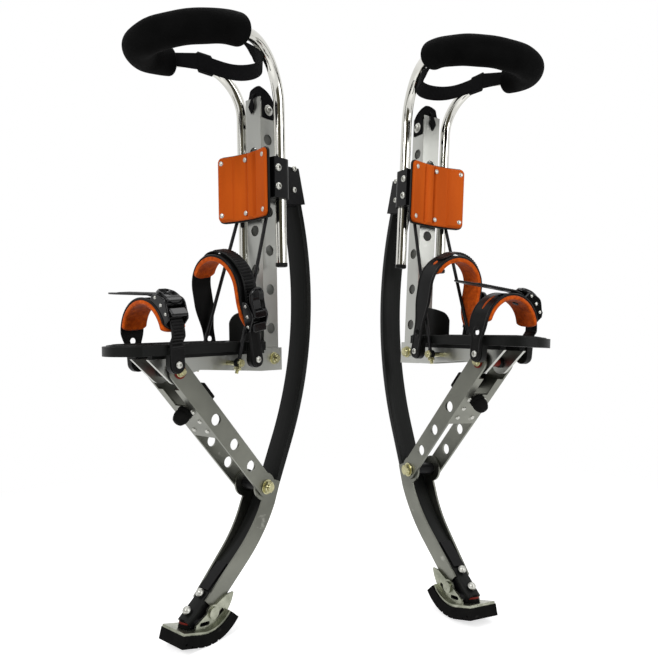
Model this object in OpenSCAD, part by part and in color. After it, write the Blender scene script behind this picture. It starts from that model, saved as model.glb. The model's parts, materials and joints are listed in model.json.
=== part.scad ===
// A pair of jumping stilts: sprung aluminium stilts worn on the feet.
// Each stilt is drawn in its own frame: x forward to the toe, y to its left,
// z up from the ground, with x = 0 on the axis of the upright.
// Both stilts are the same piece, set down with the toes turned out.

/* [Stance] */
// Heading of the left toe, turned about the vertical
left_turn = 230; // [200:1:260]
// Heading of the right toe, turned about the vertical
right_turn = -61; // [-90:1:-30]
// Lean of the right stilt towards its own left side
right_lean = 4; // [0:0.5:6]
// Half the distance between the uprights, from left to right
stance_x = 127; // [110:1:200]
// Half the distance between the uprights, from front to back
stance_y = 43; // [0:1:80]
// Shift that centres the pair over the origin, from left to right
centre_x = -5.3; // [-60:0.5:60]
// Shift that centres the pair over the origin, from front to back
centre_y = 63; // [-120:0.5:120]

/* [Upright] */
// Width of the upright tube
up_w = 36; // [32:0.5:37]
// Depth of the upright tube
up_d = 34; // [30:0.5:38]
// Wall of the upright tube
up_wall = 3.5; // [2.5:0.5:5]
// Height of the upright's top end
up_top = 881; // [874:1:895]
// Diameter of the lightening holes
hole_d = 18.5; // [12:0.5:22]
// Spacing of the lightening holes
hole_pitch = 67; // [60:1:72]
// Height of the lowest hole in the side walls
side_hole_z = 485.5; // [478:0.5:492]
// Height of the lowest hole in the front wall
front_hole_z = 519.5; // [512:0.5:526]
// Height of the single hole near the top of the side walls
top_hole_z = 810; // [808:1:822]
// Height of the bolt that holds the webbing tab
tab_bolt_z = 860; // [850:1:868]
// Diameter of the tab bolt
tab_bolt_d = 8; // [6:0.5:10]

/* [Foot frame] */
// Thickness of a frame side plate
plate_t = 5; // [4:0.5:6]
// Depth of the frame plates' lower edge at the upright below the foot plate's upper side
plate_low_drop = 51; // [47:1:56]
// Depth of the frame plates' top edge at the upright below the foot plate's upper side
plate_top_drop = 12; // [8:1:16]
// How far the frame plates reach behind the upright's axis
plate_rear = 20; // [18:1:24]
// Distance of the front pivot ahead of the upright's axis
pivot_x = 202; // [196:1:208]
// Depth of the front pivot below the foot plate's upper side
pivot_drop = 40; // [36:1:43]
// Diameter of the front pivot bolt
pivot_d = 12; // [10:0.5:14]
// Radius of the frame plates round the front pivot
pivot_r = 19; // [16:0.5:21]
// Forward place of the bolt through plates and upright
frame_bolt_x = -1; // [-4:0.5:4]
// Depth of the bolt through plates and upright below the foot plate's upper side
frame_bolt_drop = 30; // [26:1:34]
// Diameter of that bolt
frame_bolt_d = 10; // [8:0.5:12]
// Forward place of the cross shaft under the foot plate
shaft_x = 103; // [100:1:108]
// Depth of the cross shaft below the foot plate's upper side
shaft_drop = 32; // [30:1:34]
// Diameter of the cross shaft
shaft_d = 8; // [6:0.5:9]
// Distance of a stay rod's lower eye from the middle
rod_low_y = 48; // [46.5:0.5:50]
// Diameter of a stay rod
rod_d = 6; // [5:0.5:7]

/* [Foot plate] */
// Height of the foot plate's upper side
foot_z = 464; // [460:1:468]
// Thickness of the foot plate's rim
foot_t = 14; // [11:0.5:16]
// Half width of the foot plate at the ball of the foot
foot_half = 48; // [46:0.5:50]
// Half width of the foot plate at its waist
waist_half = 41; // [38:0.5:42]
// Reach of the toe ahead of the upright's axis
toe_x = 300; // [290:1:312]
// Radius of the rounded toe
toe_r = 62; // [56:1:70]
// Rise of the ribbed tread above the foot plate
tread_h = 2; // [1.5:0.5:3]
// Inner radius of the heel cup
heel_r = 39; // [36:0.5:40]
// Wall of the heel cup
heel_wall = 4; // [3:0.5:5]
// Height of the heel cup above the foot plate
heel_h = 58; // [45:1:66]

/* [Straps] */
// Depth of the strap bolts below the foot plate's upper side
strap_bolt_drop = 28; // [25:1:31]
// Forward place of the ankle strap bolts
ankle_x = 69; // [66:1:72]
// Forward lean of the ankle strap
ankle_lean = 10; // [9:0.5:14]
// Inner radius of the ankle band's arch
ankle_r = 54; // [53:0.5:58]
// Height of the arch's springing line above the ankle bolts
ankle_h = 118; // [112:1:126]
// Forward place of the toe strap bolts
toe_bolt_x = 223; // [219:1:228]
// Forward lean of the toe strap
toe_lean = 4; // [0:0.5:8]
// Inner radius of the toe band's arch
toe_arch_r = 53; // [52:0.5:57]
// Height of the arch's springing line above the toe bolts
toe_h = 43; // [40:1:60]
// Thickness of a strap band
band_t = 3; // [2:0.5:3.5]
// Width of the ankle band over the instep
ankle_w = 40; // [34:1:42]
// Width of the toe band
toe_w = 40; // [34:1:48]
// Width of a band at its bolt
lug_w = 28; // [24:1:30]
// Thickness of the padded lining
pad_t = 7; // [5:0.5:8]
// Width of a ladder strap
ladder_w = 24; // [20:1:26]
// Thickness of a ladder strap
ladder_t = 2.5; // [2:0.5:3]
// Height of a ladder tooth
tooth_h = 1.5; // [1:0.25:2]
// Spacing of the ladder teeth along the strap
tooth_pitch = 6.5; // [5:0.5:9]
// Diameter of a strap bolt
strap_bolt_d = 8; // [6:0.5:9]
// Length of a buckle lever
lever_l = 57; // [44:1:60]

/* [Leg guard and cuff] */
// Distance of a cuff tube from the middle
tube_y = 46; // [44:0.5:48]
// Diameter of the cuff tube
tube_d = 19; // [16:0.5:20]
// Height of a cuff tube's lower end
tube_end_z = 596; // [585:1:620]
// Height where the tube starts to bend
bend_z = 858; // [850:1:880]
// Radius of the tube's upper bend
bend_r = 85; // [75:1:95]
// Outward splay of the bent arms
splay = 18; // [16:0.5:19]
// Slope of the grip, down to the front
grip_slope = 10; // [5:1:14]
// Radius of the grip's bow
grip_r = 87; // [86:0.5:96]
// Outer diameter of the foam sleeve
foam_d = 48; // [40:1:56]
// Lower face of the tube clamps
clamp_z = 703; // [698:1:708]
// Height of the tube clamps
clamp_h = 67; // [60:1:72]
// Diameter of a clamp bolt
clamp_bolt_d = 6; // [5:0.5:8]
// Half width of the calf plate
calf_half = 59; // [54:0.5:62]
// Height of the calf plate
calf_h = 112; // [104:1:116]
// Radius of the calf plate's hollow
calf_r = 160; // [140:1:200]
// Thickness of the calf plate
calf_t = 6; // [4.5:0.5:8]
// Forward place of the calf plate's hollow
calf_x = 38; // [37:0.5:44]
// Width of the webbing behind the leg
webbing_w = 28; // [25:1:36]

/* [Spring, link and leg] */
// Width of the leaf spring
spring_w = 42; // [38:0.5:44]
// Thickness of the leaf spring
spring_t = 11; // [9:0.5:12]
// Radius of the leaf spring's bow
bow_r = 605; // [595:1:615]
// Depth of the link's side plates
link_depth = 34; // [30:1:36]
// Thickness of the link's side plates
link_t = 4; // [3:0.5:5]
// Forward place of the elbow bolt
elbow_x = 28; // [26:0.5:30]
// Height of the elbow bolt
elbow_z = 219; // [217:0.5:221]
// Diameter of the elbow bolt
elbow_d = 12; // [10:0.5:14]
// Thickness of the leg's side plates
leg_t = 3.5; // [3:0.5:4.5]
// Depth of the leg's side plates
leg_depth = 31; // [28:1:36]
// Length of the rubber stop on the link
stop_l = 24; // [16:1:28]
// Radius of the sole's belly
belly_r = 75; // [70:1:80]
// Thickness of the rubber sole
sole_t = 18; // [14:1:22]
// Width of the rubber sole
sole_w = 58; // [52:1:64]

/* [Hidden] */
$fn = 64;
SIDES = ["left", "right"];
PIECES = ["upright", "frame_plates", "footplate", "heel_cup", "calf_plate", "calf_backing", "tube_clamps",
          "spring_clamp", "leaf_spring", "cuff_bar", "foam_sleeve", "cuff_webbing", "tube_caps", "link",
          "link_stops", "leg", "hoof", "sole", "spring_clip", "elbow_bolt", "ankle_strap", "ankle_lining",
          "ankle_buckle", "ankle_lever", "toe_strap", "toe_lining", "toe_buckle", "toe_lever"];
SHARED = ["frame_bolts", "calf_rivets", "stay_rods", "webbing_tabs"];

// Clearances
fit = 0.05;
run = 0.1;
gap = 0.3;
over = 1;
// A straight length runs this far into the bend beside it, and is this much slimmer per face
lap = 0.5;
seam = 0.05;
// A bent tube has a slight swell where each bend begins
swell = 0.3;

// Reach of a cut that clears the whole stilt
far = 1.2 * up_top;

// Heights hung from the foot plate's upper side
plate_low = foot_z - plate_low_drop;
plate_top = foot_z - plate_top_drop;
pivot_z = foot_z - pivot_drop;
frame_bolt_z = foot_z - frame_bolt_drop;
shaft_z = foot_z - shaft_drop;
strap_bolt_z = foot_z - strap_bolt_drop;

// Planes across the stilt, from the middle outwards
frame_in = up_w / 2;
frame_out = frame_in + plate_t;
leg_in = spring_w / 2 + 1;
leg_out = leg_in + leg_t;
link_in = leg_out + 0.5;
link_out = link_in + link_t;
frame_top = foot_z - foot_t - 6;

// Leg plates draw together towards the hoof
leg_bend_z = 185;
leg_foot_z = 60;
leg_foot_in = 12;
leg_foot_out = leg_foot_in + leg_t;

// Leaf spring path: [0, length] is straight, [radius, sweep] is an arc
spring_top_x = -58.35;
spring_top_z = 772.53;
spring_top = [spring_top_x, spring_top_z];
spring_turn = -14;
spring_clamped = 72;
rear_plate_t = 5;
spring_lead = 85;
spring_mid = 72;
spring_foot_r = 290;
spring_tail = 128;
spring_path = [[0, spring_lead], [bow_r, 39], [0, spring_mid], [spring_foot_r, 28], [0, spring_tail]];
leg_lead = 34;
leg_bow_r = 230;
leg_tail = 88;
leg_back = 22;
leg_rise = 7;
leg_path = [[0, leg_lead], [leg_bow_r, 25], [0, leg_tail]];
leg_start = [elbow_x - leg_back, elbow_z + leg_rise];
leg_turn = 22;

// Hoof: the sole is a ring about this centre, with a flat ramp to the front
hoof_x = 150;
hoof_c = [hoof_x, belly_r];
ramp_angle = 17;
heel_angle = 47;
ramp_l = 36;
base_t = 4;
base_r = belly_r - sole_t;
hoof_in = leg_foot_out + 0.2;
cheek_t = 4;
clip_len = 50;
clip_bolts = [15, 47];
clip_bolt_d = 8;
hoof_pin = [hoof_x - 11, belly_r - 32];
hoof_pin_d = 10;

// Cuff
bend_angle = 90 + grip_slope;
arm_reach = bend_r * (1 + sin(grip_slope));
arm_z = bend_z + bend_r * cos(grip_slope);
arm_y = tube_y + arm_reach * sin(splay);
arm_x = arm_reach * cos(splay);
grip_tilt = atan2(sin(grip_slope), cos(grip_slope) * cos(splay));
grip_splay = asin(cos(grip_slope) * sin(splay));
arm_l = (grip_r * cos(grip_splay) - arm_y) / sin(grip_splay);
grip_x = arm_l * cos(grip_splay) + grip_r * sin(grip_splay);

// Calf plate
calf_z = clamp_z + clamp_h / 2 - 10;
calf_axis = calf_x + calf_r;
backing_t = 4;
backing_r = calf_r + calf_t;
rivet_d = 4;
rivet_y = calf_half - 10;
rivet_z = calf_h / 2 - 11;
clamp_front = calf_axis - backing_r - backing_t - 1;
clamp_out = tube_y + tube_d / 2 + 4.5;
clamp_bolt_x = clamp_front - 7;
eye_y = 36;
eye_z = calf_z - calf_h / 2 + 7;
eye_x = calf_axis - sqrt(pow(backing_r + backing_t, 2) - pow(eye_y, 2)) - 3;
eye_t = 7;

// Link frame: origin on the front pivot, z along the link, x out of its front
link_l = norm([pivot_x - elbow_x, pivot_z - elbow_z]);
link_tilt = atan2(pivot_x - elbow_x, pivot_z - elbow_z);
link_r = link_depth / 2;
web_t = 3;

// Straps
lug_r = lug_w / 2;
ladder_in = band_t + 3;
buckle_half = ladder_w / 2 + 3;
cheek_w = 3;
hub_r = 5.5;
hub_out = 13;
lever_r = 300;
lever_t = 4;
pin_d = 4;
ankle_buckle_z = ankle_h - 46;
toe_buckle_angle = 42;

function heading(h) = [sin(h), -cos(h)];
function beside(h) = [cos(h), sin(h)];
function seg_end(p, h, seg) = seg[0] == 0 ? p + seg[1] * heading(h)
    : p + seg[0] * (beside(h) - beside(h + seg[1]));
function seg_turn(h, seg) = seg[0] == 0 ? h : h + seg[1];
function path_end(path, p, h, i = 0) = i == len(path) ? p
    : path_end(path, seg_end(p, h, path[i]), seg_turn(h, path[i]), i + 1);
function path_turn(path, h, i = 0) = i == len(path) ? h : path_turn(path, seg_turn(h, path[i]), i + 1);

spring_end = path_end(spring_path, spring_top, spring_turn);
spring_end_turn = path_turn(spring_path, spring_turn);

module mirrored() {
    children();
    mirror([0, 1, 0]) children();
}

module place(side) {
    lift = sole_w / 2 * sin(right_lean);
    if (side == "left")
        translate([centre_x - stance_x, centre_y - stance_y, 0]) rotate([0, 0, left_turn]) children();
    else
        translate([centre_x + stance_x, centre_y + stance_y, lift])
            rotate([0, 0, right_turn]) rotate([-right_lean, 0, 0]) children();
}

module both() {
    for (side = SIDES) place(side) children();
}

// Extrudes an x-z outline across the stilt, from y0 for a thickness t
module side_plate(y0, t) {
    translate([0, y0 + t, 0]) rotate([90, 0, 0]) linear_extrude(t) children();
}

module rod_y(x, z, d, l, n = 64) {
    translate([x, 0, z]) rotate([90, 0, 0]) cylinder(d = d, h = l, center = true, $fn = n);
}

// A bolt across the stilt: shank, and a hexagon at each end outside the grip
module bolt_y(x, z, d, grip) {
    rod_y(x, z, d, 2 * grip + 2);
    mirrored() translate([0, grip + d * 0.3, 0]) rod_y(x, z, d * 1.8, d * 0.6, 6);
}

// A cylinder between two points
module rod(a, b, d) {
    v = b - a;
    translate(a) rotate([0, acos(v[2] / norm(v)), atan2(v[1], v[0])]) cylinder(d = d, h = norm(v));
}

// Sweeps a rectangle t by w along a path of straights and arcs in the x-z plane
module bar(path, p, h, t, w, i = 0) {
    seg = path[i];
    if (seg[0] == 0)
        translate([p[0], 0, p[1]]) rotate([0, -h, 0]) translate([seam - t / 2, -w / 2, -seg[1] - lap])
            cube([t - 2 * seam, w, seg[1] + 2 * lap]);
    else
        translate([p[0] + seg[0] * cos(h), 0, p[1] + seg[0] * sin(h)]) ring(seg[0], 180 + h, seg[1], t, w);
    if (i + 1 < len(path))
        bar(path, seg_end(p, h, seg), seg_turn(h, seg), t, w, i + 1);
}

// Part of a flat ring in the x-z plane, its mean radius r, swept from angle a
module ring(r, a, sweep, t, w) {
    rotate([90, 0, 0]) rotate([0, 0, a]) rotate_extrude(angle = sweep)
        translate([r - t / 2, -w / 2]) square([t, w]);
}

// Local frame at distance s from the spring's top: x out of the front face, z back up the spring
module on_spring_top(s) {
    p = spring_top + s * heading(spring_turn);
    translate([p[0], 0, p[1]]) rotate([0, -spring_turn, 0]) children();
}

// Local frame at distance s back from the spring's lower end
module on_spring_end(s) {
    p = spring_end - s * heading(spring_end_turn);
    translate([p[0], 0, p[1]]) rotate([0, -spring_end_turn, 0]) children();
}

module rounded_rect(w, h, r) {
    square([w - 2 * r, h], center = true);
    square([w, h - 2 * r], center = true);
    for (x = [-1, 1]) for (y = [-1, 1])
        translate([x * (w / 2 - r), y * (h / 2 - r)]) circle(r);
}

module slot2d(l, d) {
    square([l - d, d], center = true);
    for (x = [-1, 1]) translate([x * (l - d) / 2, 0]) circle(d = d);
}

module upright() {
    color("silver") difference() {
        translate([-up_d / 2, -up_w / 2, plate_low + 5]) cube([up_d, up_w, up_top - plate_low - 5]);
        translate([-up_d / 2 + up_wall, -up_w / 2 + up_wall, plate_low])
            cube([up_d - 2 * up_wall, up_w - 2 * up_wall, up_top - plate_low + over]);
        for (i = [0:4]) rod_y(0, side_hole_z + i * hole_pitch, hole_d, up_w + 2);
        rod_y(0, top_hole_z, hole_d, up_w + 2);
        for (i = [0:4]) translate([up_d / 2, 0, front_hole_z + i * hole_pitch])
            rotate([0, 90, 0]) cylinder(d = hole_d, h = 3 * up_wall, center = true);
        rod_y(0, tab_bolt_z, tab_bolt_d + 2 * fit, up_w + 2);
        rod_y(frame_bolt_x, frame_bolt_z, frame_bolt_d + 2 * fit, up_w + 2);
    }
}

module frame_plates() {
    color("silver") mirrored() side_plate(frame_in, plate_t) difference() {
        union() {
            polygon([[-plate_rear, plate_low], [-plate_rear, plate_top], [up_d / 2 - 2, plate_top],
                     [up_d / 2 + 6, frame_top], [pivot_x + 50, frame_top], [pivot_x + 14, pivot_z - 13],
                     [pivot_x - 44, pivot_z], [30, plate_low + 1]]);
            translate([pivot_x, pivot_z]) circle(pivot_r);
        }
        translate([frame_bolt_x, frame_bolt_z]) circle(d = frame_bolt_d + 2 * fit);
        translate([pivot_x, pivot_z]) circle(d = pivot_d + 2 * fit);
        translate([shaft_x, shaft_z]) circle(d = shaft_d + 2 * fit);
    }
}

module foot_outline() {
    heel_round = 66;
    heel_mid = 88;
    waist_x0 = ankle_x + lug_r + 3;
    waist_x1 = toe_bolt_x - lug_r - 3;
    difference() {
        intersection() {
            translate([0, -foot_half]) square([toe_x, 2 * foot_half]);
            union() {
                translate([heel_mid, 0]) circle(heel_round);
                translate([heel_mid, -foot_half]) square([toe_x - toe_r - heel_mid, 2 * foot_half]);
                translate([toe_x - toe_r, 0]) circle(toe_r);
            }
        }
        for (s = [-1, 1]) translate([(waist_x0 + waist_x1) / 2, s * (waist_half + foot_half)])
            rounded_rect(waist_x1 - waist_x0, 2 * foot_half, 6);
    }
}

// Hanging ear that carries a strap bolt, its outer face just inside the strap
module foot_ear(x, z, y) {
    side_plate(y - 10, 10) difference() {
        union() {
            translate([x, z]) circle(lug_r - 1);
            translate([x - lug_r + 1, z]) square([2 * lug_r - 2, foot_z - 4 - z]);
        }
        translate([x, z]) circle(d = strap_bolt_d + 2 * fit);
    }
}

module footplate() {
    color("dimgray") {
        difference() {
            union() {
                translate([0, 0, foot_z - foot_t]) linear_extrude(foot_t) foot_outline();
                translate([toe_x - toe_r - 120, -waist_half + 6, foot_z - over])
                    cube([160, 2 * waist_half - 12, tread_h + over]);
                mirrored() {
                    foot_ear(ankle_x, strap_bolt_z, ankle_r - gap);
                    foot_ear(toe_bolt_x, strap_bolt_z, toe_arch_r - gap);
                    translate([up_d / 2 + 8, frame_in - 3, frame_top]) cube([pivot_x + 20, plate_t + 6, 7]);
                }
            }
            translate([shaft_x + 30, 8 - frame_in, foot_z - foot_t - over])
                cube([pivot_x - shaft_x - 60, 2 * frame_in - 16, foot_t - 4]);
        }
    }
}

module heel_cup() {
    cup_x = 67;
    wing = 62;
    color("dimgray") difference() {
        translate([cup_x, 0, foot_z]) rotate([0, 0, 180 - wing]) rotate_extrude(angle = 2 * wing)
            translate([heel_r, 0]) square([heel_wall, heel_h]);
        translate([cup_x - heel_r - heel_wall - 5, -2 * heel_r, foot_z + heel_h]) rotate([0, 30, 0])
            cube([3 * heel_r, 4 * heel_r, heel_h]);
    }
}

module calf_outline(half, h, r) {
    translate([0, 0, calf_z]) rotate([90, 0, 90]) linear_extrude(100) rounded_rect(2 * half, h, r);
}

module calf_shell(r, t, h) {
    translate([calf_axis, 0, calf_z - h / 2]) rotate([0, 0, 155]) rotate_extrude(angle = 50)
        translate([r, 0]) square([t, h]);
}

// The plates of the pair are mirror images, hand 1 for the left one
module calf_plate(hand) {
    groove = 1.6;
    color("darkorange") difference() {
        intersection() {
            calf_shell(calf_r, calf_t, calf_h);
            calf_outline(calf_half, calf_h, 9);
        }
        for (a = [10.1, -0.2, -10.2])
            translate([calf_axis, 0, calf_z - calf_h]) rotate([0, 0, 180 + hand * a - 0.8])
                rotate_extrude(angle = 1.6)
                    translate([calf_r - over, 0]) square([groove + over, 2 * calf_h]);
        calf_rivet_holes();
    }
}

module calf_rivet_holes() {
    for (z = [-1, 1]) for (y = [-rivet_y, 0, rivet_y])
        translate([calf_axis - backing_r - backing_t - 4, y, calf_z + z * rivet_z]) rotate([0, 90, 0])
            cylinder(d = rivet_d, h = 40);
}

module calf_backing() {
    color("dimgray") difference() {
        union() {
            intersection() {
                calf_shell(backing_r, backing_t, calf_h + 4);
                calf_outline(calf_half + 2, calf_h + 4, 10);
            }
            translate([up_d / 2, -15, calf_z - 30])
                cube([calf_x - calf_t - backing_t / 2 - up_d / 2, 30, 60]);
            mirrored() translate([eye_x, eye_y, eye_z]) rotate([0, 90, 0]) cylinder(r = 7, h = 5);
        }
        calf_rivet_holes();
        calf_shell(calf_r, calf_t, 2 * calf_h);
    }
}

module calf_rivets() {
    color("gainsboro") for (z = [-1, 1]) for (y = [-rivet_y, 0, rivet_y]) {
        face = calf_axis - sqrt(pow(calf_r, 2) - pow(abs(y) + 3.5, 2));
        translate([face - calf_t, y, calf_z + z * rivet_z]) rotate([0, 90, 0]) {
            cylinder(d = rivet_d - 2 * fit, h = calf_t + 1.5);
            translate([0, 0, calf_t + 0.6]) cylinder(d1 = 8, d2 = 5, h = 1.6);
        }
    }
}

module tube_clamps() {
    color("dimgray") mirrored() translate([0, 0, clamp_z]) difference() {
        linear_extrude(clamp_h) difference() {
            union() {
                translate([0, frame_in]) square([clamp_front, clamp_out - frame_in]);
                translate([-tube_d / 2 - 4.5, frame_in]) square([20, tube_y - frame_in]);
                translate([0, tube_y]) circle(tube_d / 2 + 4.5);
            }
            translate([0, tube_y]) circle(d = tube_d + 2 * fit);
            translate([0, tube_y - 1]) square([clamp_front + over, 2]);
        }
        for (z = [0.27, 0.73]) translate([clamp_bolt_x, 0, z * clamp_h]) rotate([-90, 0, 0])
            translate([0, 0, tube_y - 12]) cylinder(d = clamp_bolt_d + 2 * fit, h = 60);
    }
}

module clamp_bolts() {
    mirrored() for (z = [0.27, 0.73]) translate([clamp_bolt_x, clamp_out, clamp_z + z * clamp_h])
        rotate([-90, 0, 0]) {
            cylinder(d = clamp_bolt_d * 1.7, h = clamp_bolt_d * 0.8);
            translate([0, 0, tube_y - 11.5 - clamp_out])
                cylinder(d = clamp_bolt_d, h = clamp_out - tube_y + 13);
        }
}

module spring_clamp() {
    half = spring_w / 2 - 2;
    cheek_in = spring_w / 2 + gap;
    cheek_t = 4;
    across = beside(spring_turn);
    front = spring_top + spring_t / 2 * across;
    low = front + (spring_clamped - 4) * heading(spring_turn);
    high = front + 4 * heading(spring_turn);
    deep = (spring_t + rear_plate_t) * across;
    upright_low = [-up_d / 2, clamp_z - 2];
    upright_high = [-up_d / 2, clamp_z + clamp_h];
    color("dimgray") {
        side_plate(-cheek_in - 1, 2 * cheek_in + 2) polygon([upright_low, upright_high, high, low]);
        mirrored() side_plate(cheek_in, cheek_t) polygon([upright_low, upright_high, high - deep, low - deep]);
        difference() {
            on_spring_top(spring_clamped - 4) translate([-spring_t / 2 - rear_plate_t, -half, 0])
                cube([rear_plate_t, 2 * half, spring_clamped - 8]);
            spring_clamp_bolts(2 * fit);
        }
        spring_clamp_bolts(0);
    }
}

module spring_clamp_bolts(extra) {
    for (s = [0.3, 0.75]) on_spring_top(s * spring_clamped) rotate([0, -90, 0]) {
        translate([0, 0, -spring_t / 2 - 4]) cylinder(d = 8 + extra, h = spring_t + 12);
        translate([0, 0, spring_t / 2 + rear_plate_t]) cylinder(d = 14, h = 5, $fn = 6);
    }
}

module spring_outline() {
    foot = leg_foot_in - 1;
    mid = spring_w / 2;
    rotate([90, 0, 90]) linear_extrude(2 * far, center = true)
        polygon([[-foot, 0], [foot, 0], [foot, leg_foot_z], [mid, leg_bend_z], [mid, far],
                 [-mid, far], [-mid, leg_bend_z], [-foot, leg_foot_z]]);
}

module leaf_spring() {
    color([0.13, 0.13, 0.14]) difference() {
        intersection() {
            bar(spring_path, spring_top, spring_turn, spring_t, spring_w + 2);
            spring_outline();
        }
        for (s = [0.3, 0.75]) on_spring_top(s * spring_clamped) rotate([0, 90, 0])
            cylinder(d = 8.6, h = 40, center = true);
        for (s = clip_bolts) on_spring_end(s) rotate([0, 90, 0])
            cylinder(d = clip_bolt_d + 0.6, h = 40, center = true);
    }
}

// Tube along a cuff arm: straight up through the clamp, then bent forward and out
module cuff_tube(d) {
    mirrored() {
        translate([0, tube_y, tube_end_z]) cylinder(d = d, h = bend_z - tube_end_z - lap);
        translate([0, tube_y, bend_z]) sphere(d = d + swell);
        cuff_bend(d, 90 - grip_slope, bend_angle);
        grip_frame() translate([0, arm_y, 0]) rotate([0, 0, grip_splay]) rotate([0, 90, 0]) {
            sphere(d = d + swell);
            translate([0, 0, lap]) cylinder(d = d, h = arm_l - 2 * lap);
            translate([0, 0, arm_l]) sphere(d = d + swell);
        }
    }
    grip_bow(d, 90 + grip_splay);
}

module cuff_bend(d, start, sweep) {
    translate([0, tube_y, bend_z]) rotate([0, 0, splay]) translate([bend_r, 0, 0]) rotate([90, 0, 0])
        rotate([0, 0, start]) rotate_extrude(angle = sweep) translate([bend_r, 0]) circle(d = d);
}

module grip_frame() {
    translate([arm_x, 0, arm_z]) rotate([0, grip_tilt, 0]) children();
}

module grip_bow(d, half) {
    grip_frame() translate([grip_x, 0, 0]) rotate([0, 0, -half]) rotate_extrude(angle = 2 * half)
        translate([grip_r, 0]) circle(d = d);
}

module cuff_bar() {
    color("whitesmoke") cuff_tube(tube_d);
}

module foam_sleeve() {
    sleeve = 80 + grip_splay;
    color([0.1, 0.1, 0.1]) difference() {
        union() {
            grip_bow(foam_d, sleeve);
            for (s = [-1, 1]) grip_frame() translate([grip_x, 0, 0]) rotate([0, 0, s * sleeve])
                translate([grip_r, 0, 0]) rotate([s > 0 ? -90 : 90, 0, 0]) sleeve_end();
        }
        grip_bow(tube_d + 2 * run, 90 + grip_splay);
    }
}

// Rounded shoulder that closes one end of the foam sleeve
module sleeve_end() {
    round_r = 10;
    rotate_extrude() {
        square([foam_d / 2 - round_r, round_r]);
        intersection() {
            translate([foam_d / 2 - round_r, 0]) circle(round_r);
            square([foam_d / 2, round_r]);
        }
    }
}

module cuff_webbing() {
    sag = 15;
    belt_x = 87;
    belt_r = 60;
    belt_half = 84;
    belt_z = arm_z - 4;
    color([0.12, 0.12, 0.12]) difference() {
        union() {
            mirrored() cuff_bend(tube_d + 6, 81, 15);
            translate([belt_x, 0, belt_z]) rotate([0, -sag, 0]) {
                rotate([0, 0, 180 - belt_half]) rotate_extrude(angle = 2 * belt_half)
                    translate([belt_r, -webbing_w / 2]) square([2.5, webbing_w]);
                for (a = [28, 40]) rotate([0, 0, 180 + a]) translate([belt_r - 1, -1.5, -webbing_w / 2 - 3])
                    cube([5, 3, webbing_w + 6]);
            }
        }
        mirrored() cuff_bend(tube_d + 2 * run, 70, 50);
    }
}

module tube_caps() {
    color("dimgray") mirrored() translate([0, tube_y, tube_end_z - 7]) cylinder(d = tube_d + 1.5, h = 7);
}

module on_link() {
    translate([pivot_x, 0, pivot_z]) rotate([0, link_tilt, 0]) children();
}

module link() {
    web_top = 58;
    web_end = 128;
    lip_top = 22;
    lip_w = 11;
    color("silver") on_link() {
        mirrored() side_plate(link_in, link_t) difference() {
            union() {
                translate([-link_r, -link_l]) square([2 * link_r, link_l]);
                for (z = [0, -link_l]) translate([0, z]) circle(link_r);
            }
            translate([0, 0]) circle(d = pivot_d + 2 * run);
            translate([0, -link_l]) circle(d = elbow_d + 2 * run);
            for (s = [0.385, 0.6, 0.8]) translate([0, -s * link_l]) circle(d = hole_d);
        }
        mirrored() side_plate(frame_out + gap, link_in - frame_out - gap + 0.5) difference() {
            circle(d = pivot_d + 8);
            circle(d = pivot_d + 2 * run);
        }
        translate([link_r - web_t, -link_in - 1, -web_end]) cube([web_t, 2 * link_in + 2, web_end - web_top]);
        mirrored() translate([link_r - web_t, link_in - lip_w, -web_top - 1])
            cube([web_t, lip_w + 1, web_top - lip_top + 1]);
    }
}

module link_stops() {
    stop_z = -70;
    pad_l = 32;
    color([0.1, 0.1, 0.1]) on_link() {
        translate([link_r, 0, stop_z]) rotate([0, 90, 0]) {
            cylinder(d = 25, h = stop_l * 0.6);
            translate([0, 0, stop_l * 0.6]) cylinder(d1 = 25, d2 = 16, h = stop_l * 0.4);
        }
        translate([-link_r - 6, -link_out, -44 - pad_l]) cube([6, 2 * link_out, pad_l]);
    }
}

module leg_outline() {
    top = elbow_z + 2 * leg_depth;
    mirrored() rotate([90, 0, 90]) linear_extrude(far, center = true)
        polygon([[leg_in, top], [leg_out, top], [leg_out, leg_bend_z], [leg_foot_out, leg_foot_z],
                 [leg_foot_out, 0], [leg_foot_in, 0], [leg_foot_in, leg_foot_z], [leg_in, leg_bend_z]]);
}

module leg() {
    color("silver") difference() {
        intersection() {
            union() {
                bar(leg_path, leg_start, leg_turn, leg_depth, 2 * leg_out + 2);
                rod_y(elbow_x, elbow_z, 46, 2 * leg_out + 2);
            }
            leg_outline();
        }
        rod_y(elbow_x, elbow_z, elbow_d + 2 * fit, 4 * leg_out);
        rod_y(hoof_pin[0], hoof_pin[1], hoof_pin_d + 2 * fit, 4 * leg_out);
    }
}

module elbow_bolt() {
    color("khaki") {
        rod_y(elbow_x, elbow_z, elbow_d, 2 * link_out + 4);
        rod_y(elbow_x, elbow_z, elbow_d + 9, 2 * leg_in - 2 * fit);
        mirrored() translate([0, link_out + gap + 4, 0]) rod_y(elbow_x, elbow_z, elbow_d * 1.75, 8, 6);
    }
}

// A ring about the hoof's centre with its front ramp, r1 inside r2
module hoof_shell(r1, r2, w) {
    translate([hoof_c[0], 0, hoof_c[1]]) {
        ring((r1 + r2) / 2, 270 - heel_angle, heel_angle + ramp_angle, r2 - r1, w);
        rotate([0, -ramp_angle, 0]) translate([-lap, -w / 2, seam - r2])
            cube([ramp_l + lap, w, r2 - r1 - 2 * seam]);
    }
}

module sole() {
    color([0.08, 0.08, 0.08]) difference() {
        hoof_shell(base_r, belly_r, sole_w);
        for (a = [-40:10:10]) translate([hoof_c[0], 0, hoof_c[1]]) rotate([0, a, 0])
            translate([-1.5, -sole_w, -belly_r - over]) cube([3, 2 * sole_w, 1.8 + over]);
    }
}

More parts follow.
